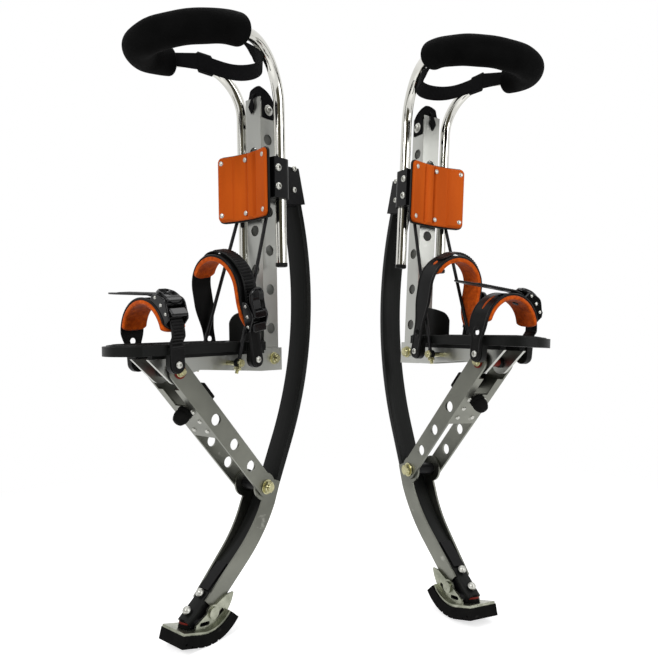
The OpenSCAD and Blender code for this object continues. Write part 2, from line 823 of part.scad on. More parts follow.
module hoof() {
    boss = hoof_pin;
    color("gainsboro") {
        rod_y(boss[0], boss[1], hoof_pin_d, 2 * hoof_in + 2);
        hoof_shell(base_r - base_t, base_r, sole_w - 4);
        mirrored() side_plate(hoof_in, cheek_t) difference() {
            union() {
                intersection() {
                    translate(hoof_c) circle(base_r - base_t / 2);
                    translate(hoof_c) polygon([[-58, -45], [-58, -13], [-38, -13], [-11, -24], [22, -41],
                                               [32, -belly_r], [-30, -belly_r]]);
                }
                translate(boss) circle(12);
            }
            for (a = [-32, 8]) translate(hoof_c) rotate(a) translate([0, -base_r + base_t + 9]) slot2d(19, 6);
        }
        mirrored() side_plate(hoof_in + cheek_t - 0.5, 4) translate(boss) circle(9);
    }
}

module spring_clip() {
    half = leg_foot_in - 1;
    seat = spring_end - 6 * heading(spring_end_turn) - spring_t / 2 * beside(spring_end_turn);
    back = seat - 56 * heading(spring_end_turn);
    inside_r = base_r - base_t - run;
    foot = hoof_c - [0, belly_r];
    block = [seat, back, [back[0] + 6, sole_t], foot, foot + [inside_r, 0]];
    color([0.12, 0.12, 0.12]) {
        on_spring_end(5 + clip_len) translate([spring_t / 2, -half, 0]) cube([4, 2 * half, clip_len]);
        for (s = clip_bolts) on_spring_end(s) rotate([0, 90, 0]) {
            translate([0, 0, -spring_t / 2 - 3]) cylinder(d = clip_bolt_d, h = spring_t + 8);
            translate([0, 0, spring_t / 2 + 4]) cylinder(d1 = 13, d2 = 8, h = 5);
        }
        difference() {
            intersection() {
                side_plate(-half + 0.5, 2 * half - 1) polygon(block);
                translate([hoof_c[0], 0, hoof_c[1]]) rotate([90, 0, 0])
                    cylinder(r = inside_r, h = 100, center = true);
            }
            rod_y(hoof_pin[0], hoof_pin[1], hoof_pin_d + 2 * fit, 100);
        }
    }
}

module strap_frame(x, z, lean) {
    translate([x, 0, z]) rotate([0, lean, 0]) children();
}

// Half ring over the instep: inner radius r, thickness t, from angle a0 to a1 above the left side
module arch(h, r, t, w, a0, a1) {
    translate([0, 0, h]) rotate([90, 0, 90]) rotate([0, 0, a0]) rotate_extrude(angle = a1 - a0)
        translate([r, -w / 2]) square([t, w]);
}

// Straight leg of a strap on its left side, from z0 to z1
module strap_leg(r, t, w, z0, z1) {
    translate([-w / 2, r + seam, z0]) cube([w, t - 2 * seam, z1 - z0 + lap]);
}

module strap_lug(r, t) {
    translate([0, r, 0]) rotate([-90, 0, 0]) cylinder(r = lug_r, h = t);
}

module strap_bores(r, t) {
    mirrored() translate([0, r - over, 0]) rotate([-90, 0, 0])
        cylinder(d = strap_bolt_d + 2 * run, h = t + 2 * over);
}

// Ladder strap: smooth strip with square teeth, wrapped from angle a0 to a1
module ladder_arc(h, r, a0, a1) {
    arch(h, r, ladder_t, ladder_w, a0, a1);
    step = tooth_pitch / r * 180 / PI;
    for (a = [a0 + step / 2 : step : a1 - step / 2])
        arch(h, r + ladder_t - 0.2, tooth_h + 0.2, ladder_w - 4, a - step / 4, a + step / 4);
}

module ladder_leg(r, z0, z1) {
    strap_leg(r, ladder_t, ladder_w, z0, z1);
    for (z = [z0 + tooth_pitch / 2 : tooth_pitch : z1 - tooth_pitch])
        strap_leg(r + ladder_t - 0.2, tooth_h + 0.2, ladder_w - 4, z, z + tooth_pitch / 2);
}

module ankle_strap() {
    r = ankle_r;
    color([0.13, 0.13, 0.13]) strap_frame(ankle_x, strap_bolt_z, ankle_lean) difference() {
        union() {
            mirrored() {
                strap_lug(r, band_t);
                strap_leg(r, band_t, lug_w, 0, ankle_h);
            }
            arch(ankle_h, r, band_t, ankle_w, 0, 180);
            arch(ankle_h, r + band_t - 0.2, ladder_in - band_t + 0.4, ladder_w - 6, 108, 118);
            ladder_arc(ankle_h, r + ladder_in, 0, 122);
            ladder_leg(r + ladder_in, ankle_buckle_z - 12, ankle_h);
        }
        strap_bores(r, band_t);
    }
}

module ankle_lining() {
    lining_end = 162;
    lining_drop = 30;
    color("darkorange") strap_frame(ankle_x, strap_bolt_z, ankle_lean) {
        arch(ankle_h, ankle_r - pad_t, pad_t, ankle_w + 2, 0, lining_end);
        strap_leg(ankle_r - pad_t, pad_t, ankle_w + 2, ankle_h - lining_drop, ankle_h);
    }
}

// Ratchet buckle on the left of a strap: two cheeks and a pin, z along the strap
module buckle(r) {
    mirrored_x() translate([buckle_half, r, 0]) rotate([90, 0, 90]) linear_extrude(cheek_w) difference() {
        union() {
            translate([0, -20]) square([hub_out, 38]);
            translate([hub_out, 0]) circle(8);
        }
        translate([hub_out + 10, 16]) circle(10);
    }
    translate([-buckle_half - 1, r + hub_out, 0]) rotate([0, 90, 0])
        cylinder(d = pin_d, h = 2 * buckle_half + 2);
}

module mirrored_x() {
    children();
    mirror([1, 0, 0]) children();
}

// Lever of a ratchet buckle: hub on the pin and a curved thumb plate
module lever(r) {
    half = buckle_half - 0.5;
    translate([-half, r + hub_out, 0]) rotate([90, 0, 90]) linear_extrude(2 * half) difference() {
        union() {
            circle(hub_r);
            intersection() {
                translate([-lever_r, 0]) difference() {
                    circle(lever_r + lever_t);
                    circle(lever_r);
                }
                translate([-20, 0]) square([40, lever_l - 12]);
            }
        }
        circle(d = pin_d + 2 * run);
    }
}

module ankle_buckle() {
    color([0.1, 0.1, 0.1]) strap_frame(ankle_x, strap_bolt_z, ankle_lean) translate([0, 0, ankle_buckle_z]) {
        buckle(ankle_r + band_t);
        translate([-buckle_half - cheek_w, ankle_r + band_t, -20])
            cube([2 * (buckle_half + cheek_w), 2.5, 38]);
    }
}

module ankle_lever() {
    color([0.1, 0.1, 0.1]) strap_frame(ankle_x, strap_bolt_z, ankle_lean) translate([0, 0, ankle_buckle_z])
        lever(ankle_r + band_t);
}

module toe_strap() {
    r = toe_arch_r;
    tongue = r + 36;
    color([0.13, 0.13, 0.13]) strap_frame(toe_bolt_x, strap_bolt_z, toe_lean) difference() {
        union() {
            mirrored() strap_lug(r, band_t);
            mirror([0, 1, 0]) strap_leg(r, band_t, lug_w, 0, toe_h);
            strap_leg(r, band_t, ladder_w, 0, toe_h);
            arch(toe_h, r, band_t, toe_w, 8, 180);
            strap_leg(r, ladder_in + ladder_t, ladder_w, toe_h - 8, toe_h);
            ladder_arc(toe_h, r + ladder_in, 0, 90);
            translate([-ladder_w / 2, -tongue, toe_h + r + ladder_in]) cube([ladder_w, tongue, ladder_t]);
            for (y = [4 : tooth_pitch : tongue - 12])
                translate([-ladder_w / 2 + 2, -y - tooth_pitch / 2, toe_h + r + ladder_in + ladder_t - 0.2])
                    cube([ladder_w - 4, tooth_pitch / 2, tooth_h + 0.2]);
        }
        strap_bores(r, band_t);
    }
}

module toe_lining() {
    color("darkorange") strap_frame(toe_bolt_x, strap_bolt_z, toe_lean) {
        arch(toe_h, toe_arch_r - pad_t, pad_t, toe_w + 2, 8, 180);
        mirror([0, 1, 0]) strap_leg(toe_arch_r - pad_t, pad_t, toe_w + 2, toe_h - 6, toe_h);
    }
}

module on_toe_buckle() {
    strap_frame(toe_bolt_x, strap_bolt_z, toe_lean) translate([0, 0, toe_h]) rotate([toe_buckle_angle, 0, 0])
        children();
}

module toe_buckle() {
    r = toe_arch_r + band_t;
    color([0.1, 0.1, 0.1]) {
        on_toe_buckle() difference() {
            buckle(r);
            rotate([0, 90, 0]) cylinder(r = r, h = 100, center = true);
        }
        strap_frame(toe_bolt_x, strap_bolt_z, toe_lean)
            arch(toe_h, r, 2.5, 2 * (buckle_half + cheek_w), toe_buckle_angle - 17, toe_buckle_angle + 15);
    }
}

module toe_lever() {
    color([0.1, 0.1, 0.1]) on_toe_buckle() lever(toe_arch_r + band_t);
}

module stay_rods() {
    low = [shaft_x, rod_low_y, shaft_z];
    high = [eye_x - eye_t + 1, eye_y, eye_z];
    color([0.15, 0.15, 0.15]) mirrored() {
        difference() {
            union() {
                rod(high, low, rod_d);
                translate([0, rod_low_y, 0]) rod_y(shaft_x, shaft_z, 15, 7);
                translate([eye_x - eye_t, eye_y, eye_z]) rotate([0, 90, 0]) cylinder(d = 13, h = eye_t);
            }
            rod_y(shaft_x, shaft_z, shaft_d + 2 * fit, 200);
        }
    }
}

module frame_bolts() {
    color("khaki") {
        bolt_y(frame_bolt_x, frame_bolt_z, frame_bolt_d, frame_out);
        rod_y(pivot_x, pivot_z, pivot_d, 2 * link_out + 4);
        rod_y(pivot_x, pivot_z, pivot_d + 8, 2 * frame_in - 2 * fit);
        mirrored() translate([0, link_out + gap + 4, 0]) rod_y(pivot_x, pivot_z, pivot_d * 1.7, 8, 6);
        rod_y(shaft_x, shaft_z, shaft_d, 2 * rod_low_y + 16);
        mirrored() translate([0, rod_low_y + 6.3, 0]) rod_y(shaft_x, shaft_z, shaft_d * 1.7, 5, 6);
        clamp_bolts();
        strap_bolts(ankle_x, strap_bolt_z, ankle_r);
        strap_bolts(toe_bolt_x, strap_bolt_z, toe_arch_r);
    }
}

module strap_bolts(x, z, r) {
    mirrored() {
        translate([0, r - 4, 0]) rod_y(x, z, strap_bolt_d, 15);
        translate([0, r + band_t + gap + 2, 0]) rod_y(x, z, strap_bolt_d * 1.6, 4);
    }
}

module webbing_tabs() {
    tab_w = 26;
    tab_t = 2.5;
    low = tab_bolt_z - 14;
    color([0.12, 0.12, 0.12]) difference() {
        union() {
            mirrored() translate([-tab_w / 2, frame_in, low]) cube([tab_w, tab_t, up_top - low + tab_t]);
            translate([-tab_w / 2, -frame_in - 1, up_top]) cube([tab_w, 2 * frame_in + 2, tab_t]);
        }
        rod_y(0, tab_bolt_z, tab_bolt_d + 2 * fit, 200);
    }
    color("gainsboro") {
        rod_y(0, tab_bolt_z, tab_bolt_d, 2 * frame_in + 2 * tab_t + 4);
        mirrored() translate([0, frame_in + tab_t + 1, 0]) rod_y(0, tab_bolt_z, 20, 2);
        mirrored() translate([0, frame_in + tab_t + 4, 0]) rod_y(0, tab_bolt_z, tab_bolt_d * 1.7, 5, 6);
    }
}

both() frame_bolts();
both() calf_rivets();
both() stay_rods();
both() webbing_tabs();
for (side = SIDES) {
    place(side) upright();
    place(side) frame_plates();
    place(side) footplate();
    place(side) heel_cup();
    place(side) calf_plate(side == "left" ? 1 : -1);
    place(side) calf_backing();
    place(side) tube_clamps();
    place(side) spring_clamp();
    place(side) leaf_spring();
    place(side) cuff_bar();
    place(side) foam_sleeve();
    place(side) cuff_webbing();
    place(side) tube_caps();
    place(side) link();
    place(side) link_stops();
    place(side) leg();
    place(side) hoof();
    place(side) sole();
    place(side) spring_clip();
    place(side) elbow_bolt();
    place(side) ankle_strap();
    place(side) ankle_lining();
    place(side) ankle_buckle();
    place(side) ankle_lever();
    place(side) toe_strap();
    place(side) toe_lining();
    place(side) toe_buckle();
    place(side) toe_lever();
}
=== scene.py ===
# %% [markdown]
# A pair of jumping stilts: sprung aluminium stilts that strap under the feet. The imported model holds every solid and
# joint at its real size. This lesson dresses it: metal gets rounded edges and a finish, and the foam, straps and
# spring are worked out as surfaces. First comes the frame that all of it rides on.

# %% Load the frame
import json

import bmesh
import bpy
import numpy as np
from mathutils import Matrix, Vector


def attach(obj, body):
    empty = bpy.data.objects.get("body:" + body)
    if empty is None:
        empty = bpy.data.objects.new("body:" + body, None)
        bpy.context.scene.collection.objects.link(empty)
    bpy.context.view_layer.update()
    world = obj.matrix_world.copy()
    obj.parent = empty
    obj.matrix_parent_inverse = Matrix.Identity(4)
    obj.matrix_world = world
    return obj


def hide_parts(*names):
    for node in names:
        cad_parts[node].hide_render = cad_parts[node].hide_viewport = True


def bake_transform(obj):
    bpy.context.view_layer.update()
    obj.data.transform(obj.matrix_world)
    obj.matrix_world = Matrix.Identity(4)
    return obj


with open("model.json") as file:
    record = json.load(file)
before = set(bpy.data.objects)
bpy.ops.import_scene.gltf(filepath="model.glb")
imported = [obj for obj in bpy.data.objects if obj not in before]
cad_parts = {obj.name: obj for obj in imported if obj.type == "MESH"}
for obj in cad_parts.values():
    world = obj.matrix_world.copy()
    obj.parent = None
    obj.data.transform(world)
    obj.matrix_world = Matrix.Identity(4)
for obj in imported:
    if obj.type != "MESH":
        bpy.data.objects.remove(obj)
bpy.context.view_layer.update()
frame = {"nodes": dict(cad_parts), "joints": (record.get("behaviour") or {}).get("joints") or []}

# %% [markdown]
# Both stilts are the same piece, set down at different headings. It is easiest to think in one stilt's own frame:
# x forward to the toe, y to its left, z up, in millimetres. The stance could be typed in again, but two hinge pins are
# enough to find it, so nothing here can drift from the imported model.

# %% Find each stilt's own frame
MM = 0.001
SIDES = ("left", "right")
HANDS = {"left": 1, "right": -1}
PIVOT = np.array([202.0, 0.0, 424.0])
ELBOW = np.array([28.0, 0.0, 219.0])
FORWARD, LEFTWARDS, UP = np.eye(3)
joints = {joint["name"]: joint for joint in frame["joints"]}


def unit(vectors):
    """Vectors divided by their own length; a zero vector stays zero."""
    length = np.linalg.norm(vectors, axis=-1, keepdims=True)
    return vectors / np.maximum(length, 1e-9)


def triad(along, across):
    """Three square axes as columns: along, across and their cross product."""
    return np.column_stack([along, across, np.cross(along, across)])


def stilt_frame(side):
    """The turn and place of a stilt, from its front pivot and its elbow."""
    front, knee = (np.array(joints[f"{side}_{pin}"]["pos_m"]) for pin in ("link_pivot", "leg_pivot"))
    across = np.array(joints[f"{side}_link_pivot"]["axis"])
    turn = triad(unit(front - knee), across) @ triad(unit(PIVOT - ELBOW), LEFTWARDS).T
    return turn, front - turn @ PIVOT * MM


def set_down(side, points):
    """Stilt millimetres to metres in the shared frame: turn the points, then move them."""
    turn, place = STILTS[side]
    return np.asarray(points, float) @ turn.T * MM + place


def stilt_points(side, places):
    """The way back, from metres in the shared frame to stilt millimetres."""
    turn, place = STILTS[side]
    return (places - place) @ turn / MM


STILTS = {side: stilt_frame(side) for side in SIDES}
print({side: np.round(place, 3) for side, (turn, place) in STILTS.items()})

# %% [markdown]
# A few small functions shape everything below. The most useful is the rounded edge. A Bevel could round it later, but
# here a plate or strap is drawn as a middle surface whose half thickness falls away in a quarter circle near each free
# edge. Front and back then meet along the rim, so the shell closes by itself. Rows lie closer together near the edges,
# because that is where the surface turns.

# %% Spacing and rounded edges
def smooth(x):
    """Smoothstep, 3x^2 - 2x^3, with x held between 0 and 1."""
    x = np.clip(x, 0, 1)
    return x * x * (3 - 2 * x)


def dense(count):
    """Numbers from 0 to 1, closer together at both ends: (1 - cos(pi t)) / 2."""
    return (1 - np.cos(np.linspace(0, np.pi, count))) / 2


def outwards(count):
    """The same from -1 to 1."""
    return 2 * dense(count) - 1


def spread(count):
    """Numbers from -1 to 1, halfway between evenly spaced ones and those of outwards."""
    return 0.5 * outwards(count) + 0.5 * np.linspace(-1, 1, count)


def thickness(edge, thick, radius):
    """Half thickness at a distance from the nearest edge: a quarter circle of the radius, then flat."""
    t = 1 - np.clip(edge / radius, 0, 1)
    return thick / 2 * np.sqrt(1 - t * t)


def corner_reach(a, half_l, half_w, corner):
    """Half width of a rounded rectangle at distance a from its middle: full, less the arc of its corners."""
    past = np.clip(np.abs(a) - (half_l - corner), 0, corner)
    return half_w - corner + np.sqrt(corner**2 - past**2)


print("half of a 3 mm strap, from its edge inwards:", thickness(np.linspace(0, 2, 5), 3.0, 1.5).round(2))

# %% [markdown]
# Three kinds of surface do most of the work: a profile carried along a path, a shell on both sides of a middle surface,
# and a row of radii spun about an axis. Blender's curves, Solidify and Screw could do the same, but as whole arrays the
# points stay within reach for teeth, dishes and holes.

# %% Sweeps, shells and turned shapes
def about_y(angle):
    """Matrix of a turn about y that carries z towards x."""
    c, s = np.cos(angle), np.sin(angle)
    return np.array([[c, 0, s], [0, 1, 0], [-s, 0, c]])


def circle(count):
    """Points round a unit circle."""
    spin = np.arange(count) * 2 * np.pi / count
    return np.stack([np.cos(spin), np.sin(spin)], axis=-1)


def swept(path, profile, guide):
    """A profile carried along a path: path + a * (ahead x guide) + b * (that x ahead)."""
    ahead = unit(np.gradient(path, axis=0))
    side = unit(np.cross(ahead, np.asarray(guide, float)))
    up = np.cross(side, ahead)
    return path[:, None] + profile[..., :1] * side[:, None] + profile[..., 1:] * up[:, None]


def mirrored(half):
    """A path along one side of the stilt and back along the other, sharing the point in the middle."""
    return np.concatenate([half, (half * (1, -1, 1))[-2::-1]])


def capped(points):
    """Rings with both ends drawn in to a point at their middle."""
    ends = points[[0, -1]]
    ends = ends.mean(axis=1, keepdims=True) + 0 * ends
    return np.concatenate([ends[:1], points, ends[1:]])


def shell(middle, half, relief=0.0, normal=None):
    """Two patches, middle + normal * (half + relief) and middle - normal * half."""
    if normal is None:
        normal = unit(np.cross(np.gradient(middle, axis=0), np.gradient(middle, axis=1)))
    raised = np.asarray(half + relief * (half > 0))
    return [(middle + normal * raised[..., None], False), (middle - normal * half[..., None], False)]


def turned(rows, centre, axis, columns=48):
    """Rows of (distance along the axis, radius, hexagon share) spun about an axis.

    The radius is divided by the cosine of the angle from the nearest flat where the share is 1."""
    rows = np.array([(*row, 0.0)[:3] for row in rows], float)
    spin = np.arange(columns) * 2 * np.pi / columns
    flat = (spin + np.pi / 6) % (np.pi / 3) - np.pi / 6
    reach = rows[:, 1:2] * (1 + rows[:, 2:3] * (1 / np.cos(flat) - 1))
    axis = unit(np.asarray(axis, float))
    side = unit(np.cross(axis, (0.31, 0.11, 0.94)))
    around = np.cos(spin)[:, None] * side + np.sin(spin)[:, None] * np.cross(axis, side)
    return np.asarray(centre, float) + rows[:, :1, None] * axis + reach[..., None] * around


print("four points round a circle:", circle(4).round(2).tolist())

# %% [markdown]
# A grid of points becomes a mesh in one go: every four neighbours make a quad. A loop over the points would do, but
# arrays are far quicker. Doubled points are merged and the normals are worked out again, because a grid doesn't know
# which of its sides is outside.

# %% From grids to meshes
def travelled(points, axis):
    """Mean distance travelled along one axis of a grid."""
    step = np.linalg.norm(np.diff(points, axis=axis), axis=2).mean(axis=1 - axis)
    return np.concatenate([[0.0], np.cumsum(step)])


def cells(grid):
    """The four corners of every cell of a grid."""
    corners = [grid[:-1, :-1], grid[:-1, 1:], grid[1:, 1:], grid[1:, :-1]]
    return np.stack(corners, axis=2).reshape(-1, 4, *grid.shape[2:])


def tidy_mesh(mesh, merge, crease, flatten=False):
    """Merges doubled points, faces every face outwards and smooths all but the sharp edges."""
    shape = bmesh.new()
    shape.from_mesh(mesh)
    bmesh.ops.remove_doubles(shape, verts=shape.verts, dist=merge)
    if flatten:
        bmesh.ops.dissolve_limit(shape, angle_limit=np.radians(0.4), verts=shape.verts, edges=shape.edges)
    else:
        bmesh.ops.recalc_face_normals(shape, faces=shape.faces)
    shape.to_mesh(mesh)
    shape.free()
    mesh.shade_smooth()
    mesh.set_sharp_from_angle(angle=np.radians(crease))


print("a grid of 3 by 4 points has", len(cells(np.arange(12).reshape(3, 4))), "cells")

# %% [markdown]
# A piece is one or more grids joined into one mesh. The distances along rows and columns become its map coordinates, so
# a weave or a fibre has its real scale. Each piece then rides on a body of the imported model and takes its finish.
# Where it stands for a CAD node, that node is hidden.

# %% Build a piece and let it ride
def placed(mesh, coat):
    """A new object at the origin with one finish."""
    mesh.materials.append(coat)
    piece = bpy.data.objects.new(mesh.name, mesh)
    bpy.context.scene.collection.objects.link(piece)
    return piece


def build(name, side, patches, coat, crease=42):
    """Joins patches (grid of stilt points, whether its last column meets the first) into one piece."""
    corners, faces, maps, first = [], [], [], 0
    for points, ring in patches:
        wide = np.concatenate([points, points[:, :1]], axis=1) if ring else points
        rows, columns = points.shape[:2]
        index = first + np.arange(rows)[:, None] * columns + np.arange(wide.shape[1]) % columns
        across, along = np.meshgrid(travelled(wide, 1), travelled(wide, 0))
        corners.append(points.reshape(-1, 3))
        faces.append(cells(index))
        maps.append(cells(np.stack([across, along], axis=-1) * MM))
        first += rows * columns
    mesh = bpy.data.meshes.new(f"{side}_{name}")
    mesh.from_pydata(set_down(side, np.concatenate(corners)).tolist(), [], np.concatenate(faces).tolist())
    mesh.uv_layers.new(name="UVMap").data.foreach_set("uv", np.concatenate(maps).astype(np.float32).ravel())
    tidy_mesh(mesh, 2e-6, crease)
    return placed(mesh, coat)


def carry(piece, body, slot, *nodes):
    """The piece rides on a body and stands for CAD nodes; the slot is not used."""
    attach(piece, body)
    if nodes:
        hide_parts(*nodes)
    return piece


def fit(name, side, patches, coat, body, slot, *nodes, crease=42):
    """Builds a piece and lets it ride."""
    return carry(build(name, side, patches, coat, crease), body, slot, *nodes)


# %% [markdown]
# Sawn and moulded parts already have the right shape in the CAD model, but their edges are knife sharp, and real
# edges catch light. A copy of the node is merged into flat faces, its edges get a small Bevel, and Weighted Normal
# keeps the wide faces flat. The copy then stands for the node.

# %% Round the edges of a CAD piece
def dressed(node, body, coat, slot, width, segments=2):
    """A copy of a CAD node with its edges rounded by width, in millimetres."""
    source = frame["nodes"][node].data
    points = np.empty(len(source.vertices) * 3, np.float32)
    source.vertices.foreach_get("co", points)
    corners = np.empty(len(source.loops), np.int32)
    source.loops.foreach_get("vertex_index", corners)
    mesh = bpy.data.meshes.new(f"{node}_finished")
    mesh.from_pydata(points.reshape(-1, 3).tolist(), [], corners.reshape(-1, 3).tolist())
    tidy_mesh(mesh, 1e-5, 35, flatten=True)
    piece = placed(mesh, coat)
    bevel = piece.modifiers.new("Rounded edges", "BEVEL")
    bevel.width = width * MM
    bevel.segments = segments
    bevel.limit_method = "ANGLE"
    bevel.angle_limit = np.radians(30)
    piece.modifiers.new("Flat faces", "WEIGHTED_NORMAL").keep_sharp = True
    return carry(piece, body, slot, node)


def paint(piece, side, coat, chosen):
    """Gives a second finish to the faces whose middle, in stilt millimetres, is chosen."""
    piece.data.materials.append(coat)
    faces = piece.data.polygons
    middles = np.empty(len(faces) * 3, np.float32)
    faces.foreach_get("center", middles)
    faces.foreach_set("material_index", chosen(stilt_points(side, middles.reshape(-1, 3))).astype(np.int32))


print(len(frame["nodes"]), "CAD nodes")

# %% [markdown]
# A material is a tree of small nodes. It could be drawn by hand in the Shader Editor, but a script says exactly what is
# linked to what. Two helpers keep it short: one makes a node and fills its inputs, the other makes a group with named
# sockets.

# %% Node helpers
def feed(tree, node, inputs):
    """Links each socket, or sets each plain value, to the input of that name or number."""
    for label, value in inputs.items():
        if isinstance(value, bpy.types.NodeSocket):
            tree.links.new(value, node.inputs[label])
        else:
            node.inputs[label].default_value = value


def add(tree, kind, inputs, **settings):
    """A new shader node with its settings made and its inputs fed; its outputs."""
    node = tree.nodes.new(f"ShaderNode{kind}")
    for label, value in settings.items():
        setattr(node, label, value)
    feed(tree, node, inputs)
    return node.outputs


def calc(tree, operation, *values, clamped=False):
    """A Math node on sockets or numbers; its output socket."""
    return add(tree, "Math", dict(enumerate(values)), operation=operation, use_clamp=clamped)[0]


def noise(tree, vector, scale, detail):
    """A noise texture read at a vector; its output socket."""
    return add(tree, "TexNoise", {"Vector": vector, "Scale": scale, "Detail": detail})[0]


def node_group(name, inputs, outputs):
    """An empty shader group with named sockets, and where its inputs come out and its outputs go in."""
    tree = bpy.data.node_groups.new(name, "ShaderNodeTree")
    for label, value in inputs.items():
        kind = "NodeSocketVector" if isinstance(value, tuple) else "NodeSocketFloat"
        tree.interface.new_socket(name=label, in_out="INPUT", socket_type=kind).default_value = value
    for label in outputs:
        tree.interface.new_socket(name=label, in_out="OUTPUT", socket_type="NodeSocketFloat")
    return tree, tree.nodes.new("NodeGroupInput").outputs, tree.nodes.new("NodeGroupOutput")


print("materials so far:", len(bpy.data.materials))

# %% [markdown]
# Finishes share their effects, so each effect is a node group that is built once. Mottle gives a broad tone and a fine
# grain from two noises, and stretching its vector makes it drawn metal or glass fibre. Scuffs are a stretched noise,
# kept only where it is highest. Painted pictures would look the same everywhere; noise never repeats.

# %% Mottle and scuffs
def mottle_group():
    """Tone from a broad noise and grain from a fine one, both on a stretched vector."""
    inputs = {"Vector": (0, 0, 0), "Stretch": (1, 1, 1), "Broad": 10.0, "Fine": 900.0}
    tree, given, made = node_group("mottle", inputs, ["Tone", "Grain"])
    stretched = add(tree, "VectorMath", {0: given["Vector"], 1: given["Stretch"]}, operation="MULTIPLY")[0]
    tone = calc(tree, "MULTIPLY_ADD", noise(tree, stretched, given["Broad"], 3.0), 2.0, -0.5)
    feed(tree, made, {"Tone": tone, "Grain": noise(tree, stretched, given["Fine"], 2.0)})
    return tree


def scuff_group():
    """Sparse thin marks: 9 times what a stretched noise has above a least value, held between 0 and 1."""
    tree, given, made = node_group("scuffs", {"Vector": (0, 0, 0), "Scale": 60.0, "Least": 0.66}, ["Mask"])
    turn = {"Vector": given["Vector"], "Rotation": (0.5, 0.9, 0.3), "Scale": (1.0, 0.12, 1.0)}
    streaks = noise(tree, add(tree, "Mapping", turn)[0], given["Scale"], 4.0)
    high = calc(tree, "SUBTRACT", streaks, given["Least"])
    feed(tree, made, {"Mask": calc(tree, "MULTIPLY", high, 9.0, clamped=True)})
    return tree


MOTTLE, SCUFFS = mottle_group(), scuff_group()
print("effects", MOTTLE.name, SCUFFS.name)

# %% [markdown]
# Webbing is woven. A picture of cloth could be wrapped round it, but a basket of threads is quickly worked out: each
# cell shows either the warp or the weft, and both swell in a sine.

# %% Weave
def weave_group():
    """Basket of threads: |sin| of each direction, swapped cell by cell."""
    tree, given, made = node_group("weave", {"Vector": (0, 0, 0), "Threads": 600.0}, ["Tone", "Grain"])
    parts = add(tree, "SeparateXYZ", {0: given["Vector"]})
    warp, weft = (calc(tree, "MULTIPLY", parts[way], given["Threads"]) for way in (0, 1))
    cell = calc(tree, "ADD", calc(tree, "FLOOR", warp), calc(tree, "FLOOR", weft))
    over = calc(tree, "PINGPONG", cell, 1.0)
    swell = [calc(tree, "ABSOLUTE", calc(tree, "SINE", calc(tree, "MULTIPLY", way, np.pi))) for way in (warp, weft)]
    shown = calc(tree, "MULTIPLY", swell[0], over)
    hidden = calc(tree, "MULTIPLY", swell[1], calc(tree, "SUBTRACT", 1.0, over))
    height = calc(tree, "ADD", shown, hidden)
    tone = calc(tree, "MULTIPLY_ADD", over, 0.35, calc(tree, "MULTIPLY", height, 0.5))
    feed(tree, made, {"Tone": tone, "Grain": height})
    return tree


WEAVE = weave_group()
print(WEAVE.name, "has", len(WEAVE.nodes), "nodes")

# %% [markdown]
# Every finish could be wired by hand, but they differ only in their values, so one function makes them all: an effect
# drives the colour between two tones, the roughness between two values and a bump. What is the same all over the
# surface, such as metal or sheen, is set on the shader itself.

# %% One function for every finish
def seen(red, green, blue):
    """A colour as it is seen on a screen, 0 to 255, in the linear light that shaders work in."""
    value = np.array([red, green, blue]) / 255
    linear = np.where(value <= 0.04045, value / 12.92, ((value + 0.055) / 1.055) ** 2.4)
    return (*linear.tolist(), 1.0)


def grain(broad, fine, stretch=(1, 1, 1)):
    """The values of a mottle: how many broad and fine spots to a metre, and its stretch."""
    return {"Broad": broad, "Fine": fine, "Stretch": stretch}


def blended(tree, mask, low, high):
    """A colour mixed from low to high by a mask; low may be a socket."""
    return add(tree, "Mix", {0: mask, 6: low, 7: high}, data_type="RGBA")[2]


def effect(tree, group, vector, values):
    """A group placed in a material and read at a vector, with its own values; its outputs."""
    return add(tree, "Group", {"Vector": vector, **values}, node_tree=group)


def finish(name, tones, rough, bump, values, group=MOTTLE, follow="Object", marks=None, fixed=None):
    """A material: two tones, a range of roughness and a bump height in millimetres, from one effect.

    marks holds the scale, least value and colour of scuffs."""
    material = bpy.data.materials.new(name)
    material.use_nodes = True
    tree = material.node_tree
    vector = add(tree, "TexCoord", {})[follow]
    made = effect(tree, group, vector, values)
    colour = blended(tree, made["Tone"], *tones)
    if marks:
        mask = effect(tree, SCUFFS, vector, {"Scale": marks[0], "Least": marks[1]})["Mask"]
        colour = blended(tree, mask, colour, marks[2])
    roughness = add(tree, "MapRange", {"Value": made["Grain"], "To Min": rough[0], "To Max": rough[1]})[0]
    normal = add(tree, "Bump", {"Distance": bump * MM, "Height": made["Grain"]})[0]
    shader = tree.nodes["Principled BSDF"]
    feed(tree, shader, {"Base Color": colour, "Roughness": roughness, "Normal": normal, **(fixed or {})})
    return material


print("middle grey in linear light:", round(seen(128, 128, 128)[0], 3))

# %% [markdown]
# The metals: satin aluminium for the upright and its plates, a greyer one for link and leg, a cast hoof, a polished
# tube, plain steel screws and yellow zinc bolts. Their tones are far apart because the eye tells metals apart by how
# bright they are. Pictures of brushed metal could be laid on, but a grain stretched along its length looks drawn at
# any scale.

